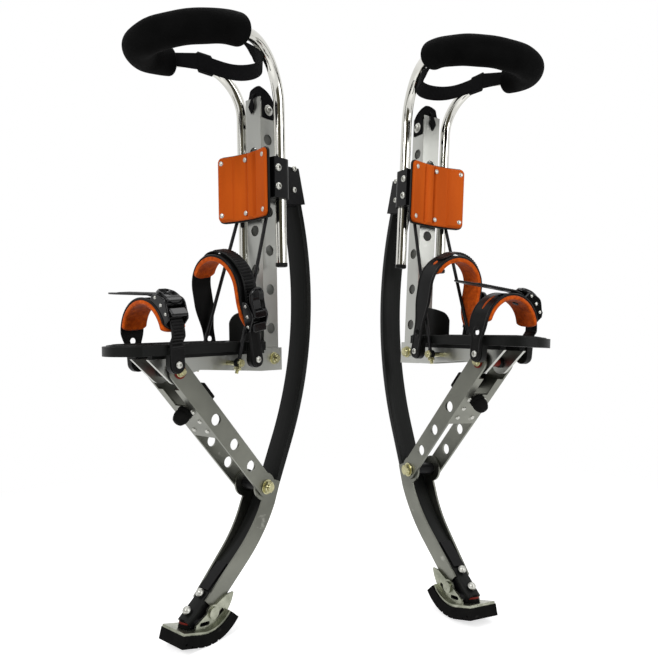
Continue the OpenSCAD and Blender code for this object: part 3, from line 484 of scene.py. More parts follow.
# %% Metals
METAL = {"Metallic": 1.0}
DULL, SATIN, SHINE = ({"Specular IOR Level": level} for level in (0.03, 0.12, 0.30))
ALUMINIUM = finish("satin_aluminium", (seen(162, 163, 158), seen(188, 189, 184)), (0.26, 0.40), 0.05,
                   grain(14, 1500, (1, 1, 0.08)), marks=(45, 0.68, seen(206, 206, 202)), fixed=METAL)
TUBE_INSIDE = finish("matt_aluminium", (seen(186, 187, 183), seen(206, 207, 203)), (0.6, 0.8), 0.05,
                     grain(20, 1300), fixed=DULL)
LEG_ALUMINIUM = finish("leg_aluminium", (seen(103, 104, 97), seen(130, 131, 122)), (0.30, 0.44), 0.05,
                       grain(11, 1300), marks=(50, 0.68, seen(170, 170, 162)), fixed=METAL)
CAST = finish("cast_aluminium", (seen(112, 115, 101), seen(168, 170, 154)), (0.20, 0.40), 0.35,
              grain(60, 420), fixed=METAL)
BRIGHT = finish("polished_tube", (seen(198, 197, 190), seen(220, 219, 213)), (0.08, 0.14), 0.01,
                grain(16, 1200, (1, 1, 0.05)), fixed=METAL)
STEEL = finish("bright_steel", (seen(168, 168, 162), seen(204, 204, 198)), (0.34, 0.50), 0.03,
               grain(150, 1600), fixed=METAL)
ZINC = finish("yellow_zinc", (seen(152, 146, 104), seen(198, 195, 158)), (0.20, 0.36), 0.04,
              grain(120, 1600), fixed=METAL)
BLACK_METAL = finish("black_enamel", (seen(11, 11, 12), seen(21, 21, 22)), (0.28, 0.44), 0.05,
                     grain(30, 1400), marks=(70, 0.73, seen(70, 70, 69)), fixed=SATIN)
print(len(bpy.data.materials), "materials with the loaded ones")

# %% [markdown]
# The rest: black mouldings from dull to glossy, orange plastic and velour, glass fibre, foam, webbing and rubber. One
# black could serve for most of them, but what sets these apart is how they shine, so their roughness and specular
# level differ most.

# %% Plastics, rubber and cloth
RED_NYLON = finish("red_nylon", (seen(92, 30, 24), seen(126, 40, 32)), (0.35, 0.5), 0.03, grain(90, 1500), fixed=SATIN)
BLACK_PLASTIC = finish("moulded_black", (seen(12, 13, 12), seen(22, 23, 22)), (0.32, 0.50), 0.10,
                       grain(26, 1100), marks=(60, 0.72, seen(48, 48, 47)), fixed=SATIN)
STRAP = finish("strap_black", (seen(9, 9, 9), seen(18, 18, 18)), (0.26, 0.44), 0.05,
               grain(40, 900), marks=(80, 0.74, seen(44, 44, 44)), fixed=SATIN)
GLOSS = finish("gloss_black", (seen(6, 6, 7), seen(12, 12, 13)), (0.08, 0.18), 0.02, grain(45, 900), fixed=SHINE)
ORANGE = finish("orange_plate", (seen(172, 72, 16), seen(196, 88, 24)), (0.34, 0.52), 0.06,
                grain(22, 1000, (1, 1, 0.2)), marks=(55, 0.72, seen(214, 118, 56)), fixed=DULL)
LINING = finish("orange_velour", (seen(160, 60, 10), seen(214, 94, 20)), (0.78, 0.98), 0.35,
                grain(160, 2600), fixed={"Sheen Weight": 0.2, "Sheen Roughness": 0.4, **DULL})
FIBRE = finish("glass_fibre", (seen(15, 16, 15), seen(27, 28, 27)), (0.24, 0.40), 0.04,
               grain(420, 2200, (1, 0.012, 1)), follow="UV", fixed=SATIN)
FOAM = finish("neoprene_foam", (seen(6, 6, 6), seen(12, 12, 12)), (0.75, 0.95), 0.25, grain(35, 1700), fixed=DULL)
WEBBING = finish("woven_webbing", (seen(7, 7, 8), seen(27, 27, 28)), (0.55, 0.85), 0.30,
                 {"Threads": 640.0}, group=WEAVE, follow="UV", fixed=DULL)
RUBBER = finish("sole_rubber", (seen(12, 12, 12), seen(24, 24, 23)), (0.55, 0.85), 0.18,
                grain(40, 800), marks=(55, 0.67, seen(52, 51, 49)), fixed=DULL)
print(len(bpy.data.materials), "materials now")

# %% [markdown]
# The sawn and drilled aluminium comes first: upright, frame plates, link and leg. They keep the CAD shape, and only
# the edges and the finish are new. The upright's inner walls are matt, which keeps light behind its holes. The hoof is
# a casting, so it gets a wider radius and a livelier surface.

# %% Aluminium frame, link and leg
METALWORK = [("upright", "frames", ALUMINIUM, 0.7), ("frame_plates", "frames", ALUMINIUM, 0.7),
             ("link", "link", LEG_ALUMINIUM, 0.6), ("leg", "leg", LEG_ALUMINIUM, 0.6), ("hoof", "leg", CAST, 1.1)]
UPRIGHT_MIDDLE, UPRIGHT_INSIDE = (0, 0, 660), (13.6, 14.6, 210)


def body_of(side, body):
    """The full name of a body: both frames are one, the rest have a side."""
    return body if body == "frames" else f"{side}_{body}"


def tube_inside(points):
    """True on the inner walls of the upright tube."""
    return np.all(np.abs(points - UPRIGHT_MIDDLE) < UPRIGHT_INSIDE, axis=1)


for side in SIDES:
    for name, body, coat, edge in METALWORK:
        piece = dressed(f"{side}_{name}", body_of(side, body), coat, "bare_aluminium", edge)
        if name == "upright":
            paint(piece, side, TUBE_INSIDE, tube_inside)
print(len(METALWORK) * len(SIDES), "metal pieces")

# %% [markdown]
# Moulded black parts, the rubber sole and the clip at the spring's foot could be drawn again with softer corners, but
# a wider Bevel on the CAD shape does the same. The spring clamp is black too, and its two nuts behind the spring are
# bare steel, so their faces get a second finish.

# %% Black mouldings and the sole
MOULDINGS = [("footplate", "frames", BLACK_PLASTIC, "black_plastic", 2.4),
             ("calf_backing", "frames", BLACK_PLASTIC, "black_plastic", 0.9),
             ("tube_clamps", "frames", BLACK_METAL, "black_plastic", 1.2),
             ("spring_clip", "leg", BLACK_METAL, "black_metal", 0.6),
             ("sole", "leg", RUBBER, "black_rubber", 1.4)]
SPRING_TOP = np.array([-58.35, 772.53])
SPRING_HEADING = np.radians(-14)
SPRING_HALF_T, REAR_PLATE_T, NUT_REACH = 5.5, 5.0, 12.0


def clamp_nuts(points):
    """True where a point stands out behind the clamp's rear plate."""
    beside = np.array([np.cos(SPRING_HEADING), np.sin(SPRING_HEADING)])
    behind = (points[:, [0, 2]] - SPRING_TOP) @ beside < -SPRING_HALF_T - REAR_PLATE_T - 0.3
    return behind & (np.abs(points[:, 1]) < NUT_REACH)


for side in SIDES:
    for name, body, coat, slot, edge in MOULDINGS:
        dressed(f"{side}_{name}", body_of(side, body), coat, slot, edge, segments=3)
    clamp = dressed(f"{side}_spring_clamp", "frames", BLACK_METAL, "black_plastic", 0.7)
    paint(clamp, side, STEEL, clamp_nuts)
stays = dressed("stay_rods", "frames", BLACK_METAL, "black_metal", 0.3)
print(stays.name, len(stays.data.polygons), "faces")

# %% [markdown]
# The cuff is one bent tube: up through the clamps, forward over a bend, out along the arms and round the front of the
# leg. It could be a Blender curve with a bevel, but a circle carried along a path of straights and true arcs gives the
# unbroken mirror that a polished tube needs, and the foam can follow the same path.

# %% Cuff tube and end caps
TUBE_Y, TUBE_R, TUBE_LOW = 46.0, 9.5, 596.0
BEND_Z, BEND_R = 858.0, 85.0
SPLAY, SLOPE, GRIP_R = np.radians(18), np.radians(10), 87.0
BEHIND_AND_UP = (-1.0, 0.0, 1.0)
END_CAP = [(-7, 0), (-7, 8), (-6.2, 9.6), (-5, 10.2), (-1, 10.2), (0, 9.9), (0, 0)]
arm_reach = BEND_R * (1 + np.sin(SLOPE))
arm_x, arm_y = arm_reach * np.cos(SPLAY), TUBE_Y + arm_reach * np.sin(SPLAY)
arm_z = BEND_Z + BEND_R * np.cos(SLOPE)
grip_splay = np.arcsin(np.cos(SLOPE) * np.sin(SPLAY))
grip_tilt = np.arctan2(np.sin(SLOPE), np.cos(SLOPE) * np.cos(SPLAY))
arm_length = (GRIP_R * np.cos(grip_splay) - arm_y) / np.sin(grip_splay)
grip_x = arm_length * np.cos(grip_splay) + GRIP_R * np.sin(grip_splay)


def bend(turn):
    """The tube's upper bend after a turn from upright: R (1 - cos(turn)) forward and out, R sin(turn) up."""
    out = BEND_R * (1 - np.cos(turn))
    points = [out * np.cos(SPLAY), TUBE_Y + out * np.sin(SPLAY), BEND_Z + BEND_R * np.sin(turn)]
    return np.stack(points, axis=-1)


def bow(angle):
    """The grip: R cos(angle) ahead and R sin(angle) aside of its middle, in a plane that slopes to the front."""
    points = np.stack([grip_x + GRIP_R * np.cos(angle), GRIP_R * np.sin(angle), 0 * angle], axis=-1)
    return points @ about_y(grip_tilt).T + (arm_x, 0, arm_z)


def tube_path():
    """The left half of the tube and its mirror image, from one lower end to the other."""
    rise = np.linspace(TUBE_LOW, BEND_Z, 30)[:-1]
    upright = np.stack([0 * rise, TUBE_Y + 0 * rise, rise], axis=-1)
    front = bow(np.linspace(np.pi / 2 + grip_splay, 0, 50))
    return mirrored(np.concatenate([upright, bend(np.linspace(0, np.pi / 2 + SLOPE, 48)), front]))


for side in SIDES:
    tube = capped(swept(tube_path(), TUBE_R * circle(48), BEHIND_AND_UP))
    fit("grip_tube", side, [(tube, True)], BRIGHT, f"{side}_cuff", "bright_tube", f"{side}_cuff_bar")
    caps = [(turned(END_CAP, (0, y, TUBE_LOW), UP), True) for y in (-TUBE_Y, TUBE_Y)]
    fit("tube_plugs", side, caps, BLACK_PLASTIC, f"{side}_cuff", "black_plastic", f"{side}_tube_caps")
print("the arms are", round(float(arm_length)), "mm long")

# %% [markdown]
# The foam sleeve could be a torus, but the same sweep with a larger circle sits on the tube by itself. Its radius
# falls away at both ends, and two slow waves keep it from looking turned.

# %% Foam sleeve
FOAM_R, FOAM_ROUND, FOAM_COLUMNS = 24.0, 7.0, 56
FOAM_WAVES = ((0.25, 7, 2), (0.2, 11, -1))
foam_end = np.radians(80) + grip_splay


def foam_rings():
    """Circles along the bow: radius R - r + sqrt(r^2 - past^2) past the sleeve's ends, plus two slow sine waves."""
    reach = foam_end + FOAM_ROUND / GRIP_R
    angle = outwards(150) * reach
    past = np.clip(GRIP_R * (np.abs(angle) - foam_end), 0, FOAM_ROUND)
    radius = FOAM_R - FOAM_ROUND + np.sqrt(FOAM_ROUND**2 - past**2)
    around = np.arange(FOAM_COLUMNS) * 2 * np.pi / FOAM_COLUMNS
    uneven = sum(high * np.sin(along * angle[:, None] + turns * around) for high, along, turns in FOAM_WAVES)
    profile = (radius[:, None] + uneven)[..., None] * circle(FOAM_COLUMNS)
    return capped(swept(bow(angle), profile, BEHIND_AND_UP))


for side in SIDES:
    foam = fit("grip_foam", side, [(foam_rings(), True)], FOAM, f"{side}_cuff", "foam", f"{side}_foam_sleeve")
print("foam ends at", round(float(np.degrees(foam_end)), 1), "degrees each way")

# %% [markdown]
# The leaf spring is a straight, a long bow, a straight, a short bow and a straight, in moulded glass fibre. A rounded
# bar is carried along that line. It bends when the wearer jumps, so it is two pieces that meet near the elbow; here
# neither piece rides on a body, and both stay where they are built.

# %% Leaf spring
SPRING_PATH = [(0, 85), (605, np.radians(39)), (0, 72), (290, np.radians(28)), (0, 128)]
SPRING_HALF_W, SPRING_FOOT_HALF_W, SPRING_CORNER = 21.0, 11.0, 1.3
TAPER_Z = (60.0, 185.0)
SEAM_Z, HELD_Z, CLIPPED_Z = 240.0, 690.0, 114.0
PROFILE_SKEW = 0.1


def run(path, start, heading, step):
    """Points along straights (0, length) and arcs (radius, sweep); a heading of 0 points down."""
    points, at = [], np.array(start, float)
    for radius, amount in path:
        length = amount if radius == 0 else radius * abs(amount)
        t = np.linspace(0, 1, 2 + int(length / step))[:, None]
        if radius == 0:
            leg = at + t * amount * np.array([np.sin(heading), -np.cos(heading)])
        else:
            sweep = heading + t * amount
            first = np.array([np.cos(heading), np.sin(heading)])
            leg = at + radius * (first - np.hstack([np.cos(sweep), np.sin(sweep)]))
            heading += amount
        points.append(leg[:-1])
        at = leg[-1]
    return np.concatenate([*points, at[None]])


def bar_profile(half_w, half_t, corner, columns=32):
    """Rounded rectangles: a circle of the corner radius pulled apart to the half widths given per row.

    The circle is turned a little first, so that no point lies on a line of symmetry."""
    c, s = np.cos(PROFILE_SKEW), np.sin(PROFILE_SKEW)
    ring = circle(columns) @ np.array([[c, s], [-s, c]])
    wide = np.sign(ring[:, 1]) * (half_w[:, None] - corner) + corner * ring[:, 1]
    thick = np.sign(ring[:, 0]) * (half_t - corner) + corner * ring[:, 0]
    return np.stack([thick + 0 * wide, wide], axis=-1)


line = run(SPRING_PATH, SPRING_TOP, SPRING_HEADING, 7.0)
spring_line = np.column_stack([line[:, 0], 0 * line[:, 0], line[:, 1]])
spring_half_w = np.interp(spring_line[:, 2], TAPER_Z, (SPRING_FOOT_HALF_W, SPRING_HALF_W))
spring_bar = swept(spring_line, bar_profile(spring_half_w, SPRING_HALF_T, SPRING_CORNER), LEFTWARDS)
seam, held, clipped = (int(np.argmin(np.abs(spring_line[:, 2] - z))) for z in (SEAM_Z, HELD_Z, CLIPPED_Z))
for side in SIDES:
    upper = build("spring_upper", side, [(capped(spring_bar[:seam + 1]), True)], FIBRE)
    lower = build("spring_lower", side, [(capped(spring_bar[seam:]), True)], FIBRE)
    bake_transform(upper)
    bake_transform(lower)
    for piece in (upper, lower):
        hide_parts(f"{side}_leaf_spring")
print("spring of", len(line), "rings, ends at", np.round(line[-1], 1))

# %% [markdown]
# The calf plate is a hollow sheet of orange plastic with a fold, a bead and two grooves, and six rivets. It could be
# sculpted, but it is only a height over a curved sheet, so a function of two distances describes it. The two plates are
# mirror images.

# %% Calf plate and its rivets
CALF_R, CALF_T, CALF_AXIS, CALF_Z = 160.0, 6.0, 198.0, 726.5
CALF_HALF, CALF_HALF_H, CALF_CORNER = 59.0, 56.0, 9.0
FOLD_Y, BEAD_Y, BEAD_HALF, GROOVES_Y = -25.0, 14.5, 8.0, (3.5, 25.5)
FOLD_UP, BEAD_UP, GROOVE_DEEP, GROOVE_HALF = 2.8, 3.2, 3.4, 2.3
RIVET_Y, RIVET_Z = 49.0, 45.0


def calf_relief(y):
    """Raised outer band beyond the fold, a half-round bead and a groove on each side of it."""
    band = FOLD_UP * smooth((FOLD_Y - y) / 4)
    bead = BEAD_UP * np.sqrt(np.clip(1 - ((y - BEAD_Y) / BEAD_HALF) ** 2, 0, 1))
    grooves = sum(GROOVE_DEEP * np.exp(-(((y - at) / GROOVE_HALF) ** 2)) for at in GROOVES_Y)
    return band + bead - grooves


def calf_plate(hand):
    """x = axis - sqrt(R^2 - y^2) over a rounded rectangle of y and z."""
    z = outwards(70) * CALF_HALF_H
    reach = corner_reach(z, CALF_HALF_H, CALF_HALF, CALF_CORNER)
    y = reach[:, None] * spread(110)
    edge = np.minimum(reach[:, None] - np.abs(y), (CALF_HALF_H - np.abs(z))[:, None])
    x = CALF_AXIS - np.sqrt((CALF_R + CALF_T / 2) ** 2 - y * y)
    middle = np.stack([x, y, CALF_Z + z[:, None] + 0 * y], axis=-1)
    towards = np.stack([CALF_AXIS - x, -y, 0 * y], axis=-1)
    return shell(middle, thickness(edge, CALF_T, 1.8), calf_relief(hand * y) * smooth(edge / 5), unit(towards))


def rivet(centre, axis, radius, height):
    """A dome: radius * cos(t) out and height * sin(t) up."""
    t = np.linspace(0, np.pi / 2, 9)
    rows = [(0, 0), *zip(height * np.sin(t), radius * np.cos(t))]
    return turned(rows, centre, axis, 32), True


for side, hand in HANDS.items():
    fit("calf_guard", side, calf_plate(hand), ORANGE, "frames", "orange_plastic", f"{side}_calf_plate")
    heads = []
    for y in (-RIVET_Y, 0, RIVET_Y):
        face = CALF_AXIS - np.sqrt(CALF_R**2 - y * y) + max(0.0, float(calf_relief(np.array(hand * y))))
        out = unit(np.array([np.sqrt(CALF_R**2 - y * y), -y, 0.0]))
        heads += [rivet((face - 0.3, y, CALF_Z + z), out, 4.3, 2.0) for z in (-RIVET_Z, RIVET_Z)]
    fit("calf_rivet_heads", side, heads, STEEL, "frames", "bright_tube", "calf_rivets")
print("calf relief from", round(float(calf_relief(np.linspace(-CALF_HALF, CALF_HALF, 200)).min()), 2), "mm")

# %% [markdown]
# Bolts are turned parts, so rows of distance and radius describe them, with a share that says how much of a hexagon
# a row is. Cap screws have a domed head and a hexagon socket. A thread is a helix: its depth follows distance / pitch
# minus angle / turn. Blender has ready-made bolts, but these are lighter and exactly as long as they need to be.

# %% Turned fasteners
WASHER_T = 1.6


def washer(centre, axis, radius, thick=WASHER_T):
    """A flat ring: the full radius along its rim, less a quarter of its thickness on both faces."""
    ease = thick * 0.25
    rows = [(0, 0), (0, radius - ease), (ease, radius), (thick - ease, radius), (thick, radius - ease), (thick, 0)]
    return turned(rows, centre, axis), True


def hexagon(centre, axis, flat, height):
    """A bolt head: six flats with a turned chamfer on top."""
    rows = [(0, 0), (0, flat * 0.97), (0.01, flat, 1), (height * 0.78, flat, 1), (height, flat * 0.94), (height, 0)]
    return turned(rows, centre, axis), True


def cap_screw(centre, axis, radius, height):
    """A dome, radius * cos(a) wide at a height that follows sin(a), with a hexagon socket."""
    t = np.linspace(0, 1.1, 7)
    dome = [(height * (0.35 + 0.65 * np.sin(a) / np.sin(1.1)), radius * np.cos(a)) for a in t]
    socket = [(height, radius * 0.40, 1), (height * 0.42, radius * 0.40, 1), (height * 0.42, 0)]
    return turned([(0, 0), (0, radius), *dome, *socket], centre, axis), True


def thread(centre, axis, radius, length, pitch=1.75):
    """A helix cut into a rod: radius minus a triangle wave of distance / pitch - angle / turn."""
    along = np.linspace(0, length, int(length / pitch * 8) + 2)
    unit_rod = turned([(a, 1.0) for a in along], (0, 0, 0), axis)
    phase = along[:, None] / pitch - np.arange(48) / 48
    depth = radius - 0.6 * np.abs(2 * (phase % 1) - 1)
    core = along[:, None, None] * unit(np.asarray(axis, float))
    return capped(np.asarray(centre, float) + core + (unit_rod - core) * depth[..., None]), True


def rod(x, z, radius, reach):
    """A plain round bar right across the stilt, with eased ends."""
    half = [(reach - 0.4, radius), (reach, radius - 0.4), (reach, 0)]
    return turned([(-a, r) for a, r in half[::-1]] + half, (x, 0, z), LEFTWARDS), True


print("a cap screw has", len(cap_screw((0, 0, 0), LEFTWARDS, 6.2, 5.0)[0]), "rings")

# %% [markdown]
# The frame's own bolts are zinc plated: one through the upright, one at the front pivot, and a cross shaft that the
# stay rods end on, with a nut and a bit of thread under each rod. Each bolt is a head, a nut and two washers, so one
# function places them all.

# %% Frame bolts and the stay rods' nuts
FRAME_OUT, LINK_OUT, LINK_GAP = 23.0, 30.0, 0.3
FRAME_BOLT_X, FRAME_BOLT_Z = -1.0, 434.0
SHAFT_X, SHAFT_Z, SHAFT_REACH, ROD_Y = 103.0, 432.0, 58.0, 48.0
EYE_X, EYE_Y, EYE_Z = 22.9, 36.0, 677.5
PIVOT_WASHER_T = 1.0
FRAME_HEX, PIVOT_HEX = (7.8, 6.0, 4.9), (5.8, 5.0, 3.9)


def cross_bolt(x, z, grip, flat, height, thread_r):
    """A hexagon head on one side, a nut with its thread on the other, and a washer under each."""
    patches = []
    for way in (-1, 1):
        axis = (0, way, 0)
        patches.append(washer((x, way * grip, z), axis, flat * 1.35))
        patches.append(hexagon((x, way * (grip + WASHER_T), z), axis, flat, height))
    patches.append(thread((x, grip + WASHER_T + height - 0.5, z), LEFTWARDS, thread_r, 4.0))
    return patches


def stay_nuts():
    """A nut on each end of the cross shaft, and a nut with its thread in line with each stay rod."""
    down = unit(np.array([SHAFT_X - EYE_X, ROD_Y - EYE_Y, SHAFT_Z - EYE_Z]))
    patches = []
    for way in (-1, 1):
        patches.append(hexagon((SHAFT_X, way * (ROD_Y + 3.6), SHAFT_Z), (0, way, 0), 6.0, 5.0))
        below = down * (1, way, 1)
        foot = np.array([SHAFT_X, way * ROD_Y, SHAFT_Z]) + 7 * below
        patches += [hexagon(foot, below, 5.0, 4.6), thread(foot + 4 * below, below, 3.0, 6.0, 1.0)]
    return patches


for side in SIDES:
    zinc = cross_bolt(FRAME_BOLT_X, FRAME_BOLT_Z, FRAME_OUT, *FRAME_HEX)
    zinc += cross_bolt(PIVOT[0], PIVOT[2], LINK_OUT + LINK_GAP + PIVOT_WASHER_T, *PIVOT_HEX)
    zinc += [rod(SHAFT_X, SHAFT_Z, 4.0, SHAFT_REACH), rod(PIVOT[0], PIVOT[2], 6.0, LINK_OUT + 1)]
    zinc += [rod(FRAME_BOLT_X, FRAME_BOLT_Z, 5.0, FRAME_OUT + 1), *stay_nuts()]
    fit("frame_bolt_set", side, zinc, ZINC, "frames", "zinc_bolts", "frame_bolts", crease=35)
print("zinc bolts of one stilt:", len(zinc), "patches")

# %% [markdown]
# Steel cap screws hold the tube clamps, the straps and the spring clamp's cheeks. The front pivot turns in a slim red
# sleeve with black ends and red washers, and the elbow in a black spacer, whose black is painted shade for the dark
# inside of the leg's channel. These bits of colour are small, but they are what makes a joint look like a bearing and
# not like a rivet.

# %% Cap screws, front pivot and elbow
ANKLE_BOLT, TOE_BOLT = (69.0, 436.0, 57.0), (223.0, 436.0, 56.0)
CLAMP_OUT, CLAMP_SCREW_X, CLAMP_SCREW_Z = 60.0, 20.0, (721.1, 751.9)
CHEEK_OUT, CHEEK_SCREWS = 25.3, ((-57.0, 769.0), (-56.0, 731.0))
SLEEVE_HALF, SLEEVE = 12.0, [(-12, 6.2), (-12, 7.2), (12, 7.2), (12, 6.2)]
ELBOW_HEX, ELBOW_SPACER = (9.1, 7.0, 5.9), (10.4, 21.9)
CLAMP_HEAD, STRAP_HEAD, CHEEK_HEAD = (6.2, 5.0), (5.2, 3.4), (5.0, 3.6)
for side in SIDES:
    red, ends, screws = [(capped(turned(SLEEVE, PIVOT, LEFTWARDS)), True)], [], []
    for way in (-1, 1):
        axis = np.array([0, way, 0])
        red.append(washer(PIVOT + (LINK_OUT + LINK_GAP) * axis, axis, 10.6, PIVOT_WASHER_T))
        ends.append(washer(PIVOT + SLEEVE_HALF * axis, axis, 8.8, 5.8))
        screws += [cap_screw((CLAMP_SCREW_X, way * CLAMP_OUT, z), axis, *CLAMP_HEAD) for z in CLAMP_SCREW_Z]
        screws += [cap_screw((x, way * (y + 0.2), z), axis, *STRAP_HEAD) for x, z, y in (ANKLE_BOLT, TOE_BOLT)]
        screws += [cap_screw((x, way * CHEEK_OUT, z), axis, *CHEEK_HEAD) for x, z in CHEEK_SCREWS]
    fit("pivot_sleeve", side, red, RED_NYLON, "frames", "zinc_bolts", "frame_bolts", crease=35)
    fit("pivot_ends", side, ends, BLACK_METAL, "frames", "zinc_bolts", "frame_bolts", crease=35)
    fit("cap_screws", side, screws, STEEL, "frames", "bright_tube", "frame_bolts", crease=35)
    elbow = cross_bolt(ELBOW[0], ELBOW[2], LINK_OUT + LINK_GAP, *ELBOW_HEX)
    elbow.append(rod(ELBOW[0], ELBOW[2], 6.0, LINK_OUT + 1))
    fit("elbow_pin", side, elbow, ZINC, f"{side}_leg", "zinc_bolts", f"{side}_elbow_bolt", crease=35)
    # The spacer's black is painted shade: it stands for the shaded inside of the leg's channel round the elbow.
    spacer = [rod(ELBOW[0], ELBOW[2], *ELBOW_SPACER)]
    fit("elbow_spacer", side, spacer, BLACK_METAL, f"{side}_leg", "zinc_bolts", f"{side}_elbow_bolt", crease=35)
print("screws and elbow of one stilt:", len(screws) + len(elbow), "patches")

# %% [markdown]
# Two bright domes close the clip's bolts, and a rubber post with a red ring stands on the hoof under the spring's end.
# They could be placed by eye, but the domes' places follow from the spring's own last point and heading, and the post
# is square to the hoof's ramp. All are turned shapes.

# %% Clip bolts and spring post
CLIP_HEADING, RAMP = np.radians(53), np.radians(17)
CLIP_DOWN = np.array([np.sin(CLIP_HEADING), 0, -np.cos(CLIP_HEADING)])
CLIP_OUT = np.array([np.cos(CLIP_HEADING), 0, np.sin(CLIP_HEADING)])
CLIP_BOLTS, CLIP_PLATE_T, DOME_R, DOME_H = (15.0, 47.0), 4.0, 6.9, 6.8
RAMP_UP = np.array([-np.sin(RAMP), 0, np.cos(RAMP)])
POST_FOOT = np.array([180.0, 0.0, 28.8])
POST = [(0, 0), (0, 9.6), (1, 10.2), (5.5, 10.2), (6.2, 9.4), (8.8, 9.4), (9.2, 8.8), (12, 8.4), (12, 0)]
POST_RING = [(6.2, 8.0), (6.2, 9.7), (6.8, 10.1), (8.4, 10.1), (8.9, 9.6), (8.9, 8.0)]
clip_face = spring_line[-1] + (SPRING_HALF_T + CLIP_PLATE_T) * CLIP_OUT
for side in SIDES:
    domes = [rivet(clip_face - back * CLIP_DOWN, CLIP_OUT, DOME_R, DOME_H) for back in CLIP_BOLTS]
    fit("clip_bolts", side, domes, STEEL, f"{side}_leg", "bright_tube")
    fit("spring_post", side, [(turned(POST, POST_FOOT, RAMP_UP), True)], RUBBER, f"{side}_leg", "black_rubber")
    ring = capped(turned(POST_RING, POST_FOOT, RAMP_UP))
    fit("post_ring", side, [(ring, True)], RED_NYLON, f"{side}_leg", "black_rubber")
print("clip face at", np.round(clip_face, 1).tolist())

# %% [markdown]
# The link's web carries a turned rubber buffer between two rows of screws, and the link has a flat pad behind. They are
# easiest to place in the link's own frame, which is the stilt's frame turned about the front pivot.

# %% Link buffer, pad and screws
LINK_TILT = np.arctan2(PIVOT[0] - ELBOW[0], PIVOT[2] - ELBOW[2])
LINK_FRONT, LINK_BACK = 17.0, -20.0
LINK_SCREWS = [(LINK_FRONT, y, z) for y in (-16.0, 16.0) for z in (-70.0, -91.0, -113.0)]
BUFFER_Z, PAD_Z, PAD_SIZES = -70.0, -60.0, (16.0, 30.0, 6.0, 3.0, 1.6)
BUFFER = [(0, 0), (0, 12.3), (1, 12.6), (4, 12.6), (5, 11.4), (6.5, 11.2), (8, 12.3), (12, 12.4), (15, 11.8),
          (19, 10.2), (22, 8.4), (23.4, 6.0), (24, 3.0), (24, 0)]


def flat_plate(centre, along, across, half_l, half_w, thick, corner, edge_r):
    """A flat plate with eased edges: centre + a * along + b * across over a rounded rectangle of a and b."""
    a = outwards(40) * half_l
    reach = corner_reach(a, half_l, half_w, corner)
    b = reach[:, None] * outwards(36)
    edge = np.minimum(reach[:, None] - np.abs(b), (half_l - np.abs(a))[:, None])
    middle = centre + a[:, None, None] * along + b[..., None] * across
    return shell(middle, thickness(edge, thick, edge_r), 0.0, np.cross(along, across))


def on_link(points):
    """Link millimetres, x out of its front and z up along it from the front pivot, to stilt millimetres."""
    return np.asarray(points, float) @ about_y(LINK_TILT).T + PIVOT


link_down, link_out = on_link((0, 0, -1)) - PIVOT, on_link((1, 0, 0)) - PIVOT
for side in SIDES:
    stop = turned(BUFFER, on_link((LINK_FRONT, 0, BUFFER_Z)), link_out)
    pad = flat_plate(on_link((LINK_BACK, 0, PAD_Z)), link_down, LEFTWARDS, *PAD_SIZES)
    rubber = [(stop, True), *pad]
    fit("link_buffer", side, rubber, RUBBER, f"{side}_link", "black_rubber", f"{side}_link_stops")
    web_screws = [rivet(on_link(at), link_out, 4.2, 2.6) for at in LINK_SCREWS]
    fit("link_screws", side, web_screws, STEEL, f"{side}_link", "bright_tube")
print("the link leans", round(float(np.degrees(LINK_TILT)), 1), "degrees")

# %% [markdown]
# The heel cup is a curved wall behind the heel, highest at the back, with round upper corners. It could be cut from a
# cylinder, but with height and angle as its two parameters the round corners come with the top edge.

# %% Heel cup
HEEL_X, HEEL_R, HEEL_T = 67.0, 41.0, 4.0
HEEL_WING, HEEL_BACK, HEEL_SIDE, HEEL_CORNER = np.radians(62), 54.0, 42.0, 13.0
FOOT_Z = 464.0


def heel_cup():
    """A wall about an upright axis: its top falls with the square of the angle and ends in a quarter circle."""
    angle = outwards(80) * HEEL_WING
    left = HEEL_R * (HEEL_WING - np.abs(angle))
    fall = HEEL_BACK - (HEEL_BACK - HEEL_SIDE) * (angle / HEEL_WING) ** 2
    near = np.clip(HEEL_CORNER - left, 0, HEEL_CORNER)
    top = fall - HEEL_CORNER + np.sqrt(HEEL_CORNER**2 - near**2)
    height = dense(40)[:, None] * top
    edge = np.minimum(np.minimum(top - height, left + 0 * height), height + 2.0)
    out = np.stack([-np.cos(angle), np.sin(angle), 0 * angle], axis=-1)
    middle = HEEL_R * out + np.stack([HEEL_X + 0 * height, 0 * height, FOOT_Z + height], axis=-1)
    closed = np.minimum(edge, height * 40)
    return shell(middle, thickness(closed, HEEL_T, 1.9), 0.0, out)


for side in SIDES:
    fit("heel_wall", side, heel_cup(), BLACK_PLASTIC, "frames", "black_plastic", f"{side}_heel_cup")
print("heel cup rises to z", FOOT_Z + HEEL_BACK)

# %% [markdown]
# The foot plate gets a raised rim and a ribbed tread, because its top is seen from above. The rim is a thin sweep just
# inside the plate's outline, and the ribs are a rounded square wave, which is lighter than one block for each rib.

# %% Foot rim and tread
FOOT_HALF, WAIST_HALF, WAIST = 48.0, 41.0, (86.0, 206.0)
HEEL_MID, HEEL_ROUND, TOE_MID, TOE_ROUND = 88.0, 66.0, 238.0, 62.0
RIM_FROM, RIM_IN, RIM_R = 24.0, 5.0, 1.5
TREAD_X, TREAD_HALF, TREAD_T, RIB_PITCH, RIB_UP = (120.0, 276.0), 34.0, 1.6, 9.0, 1.1


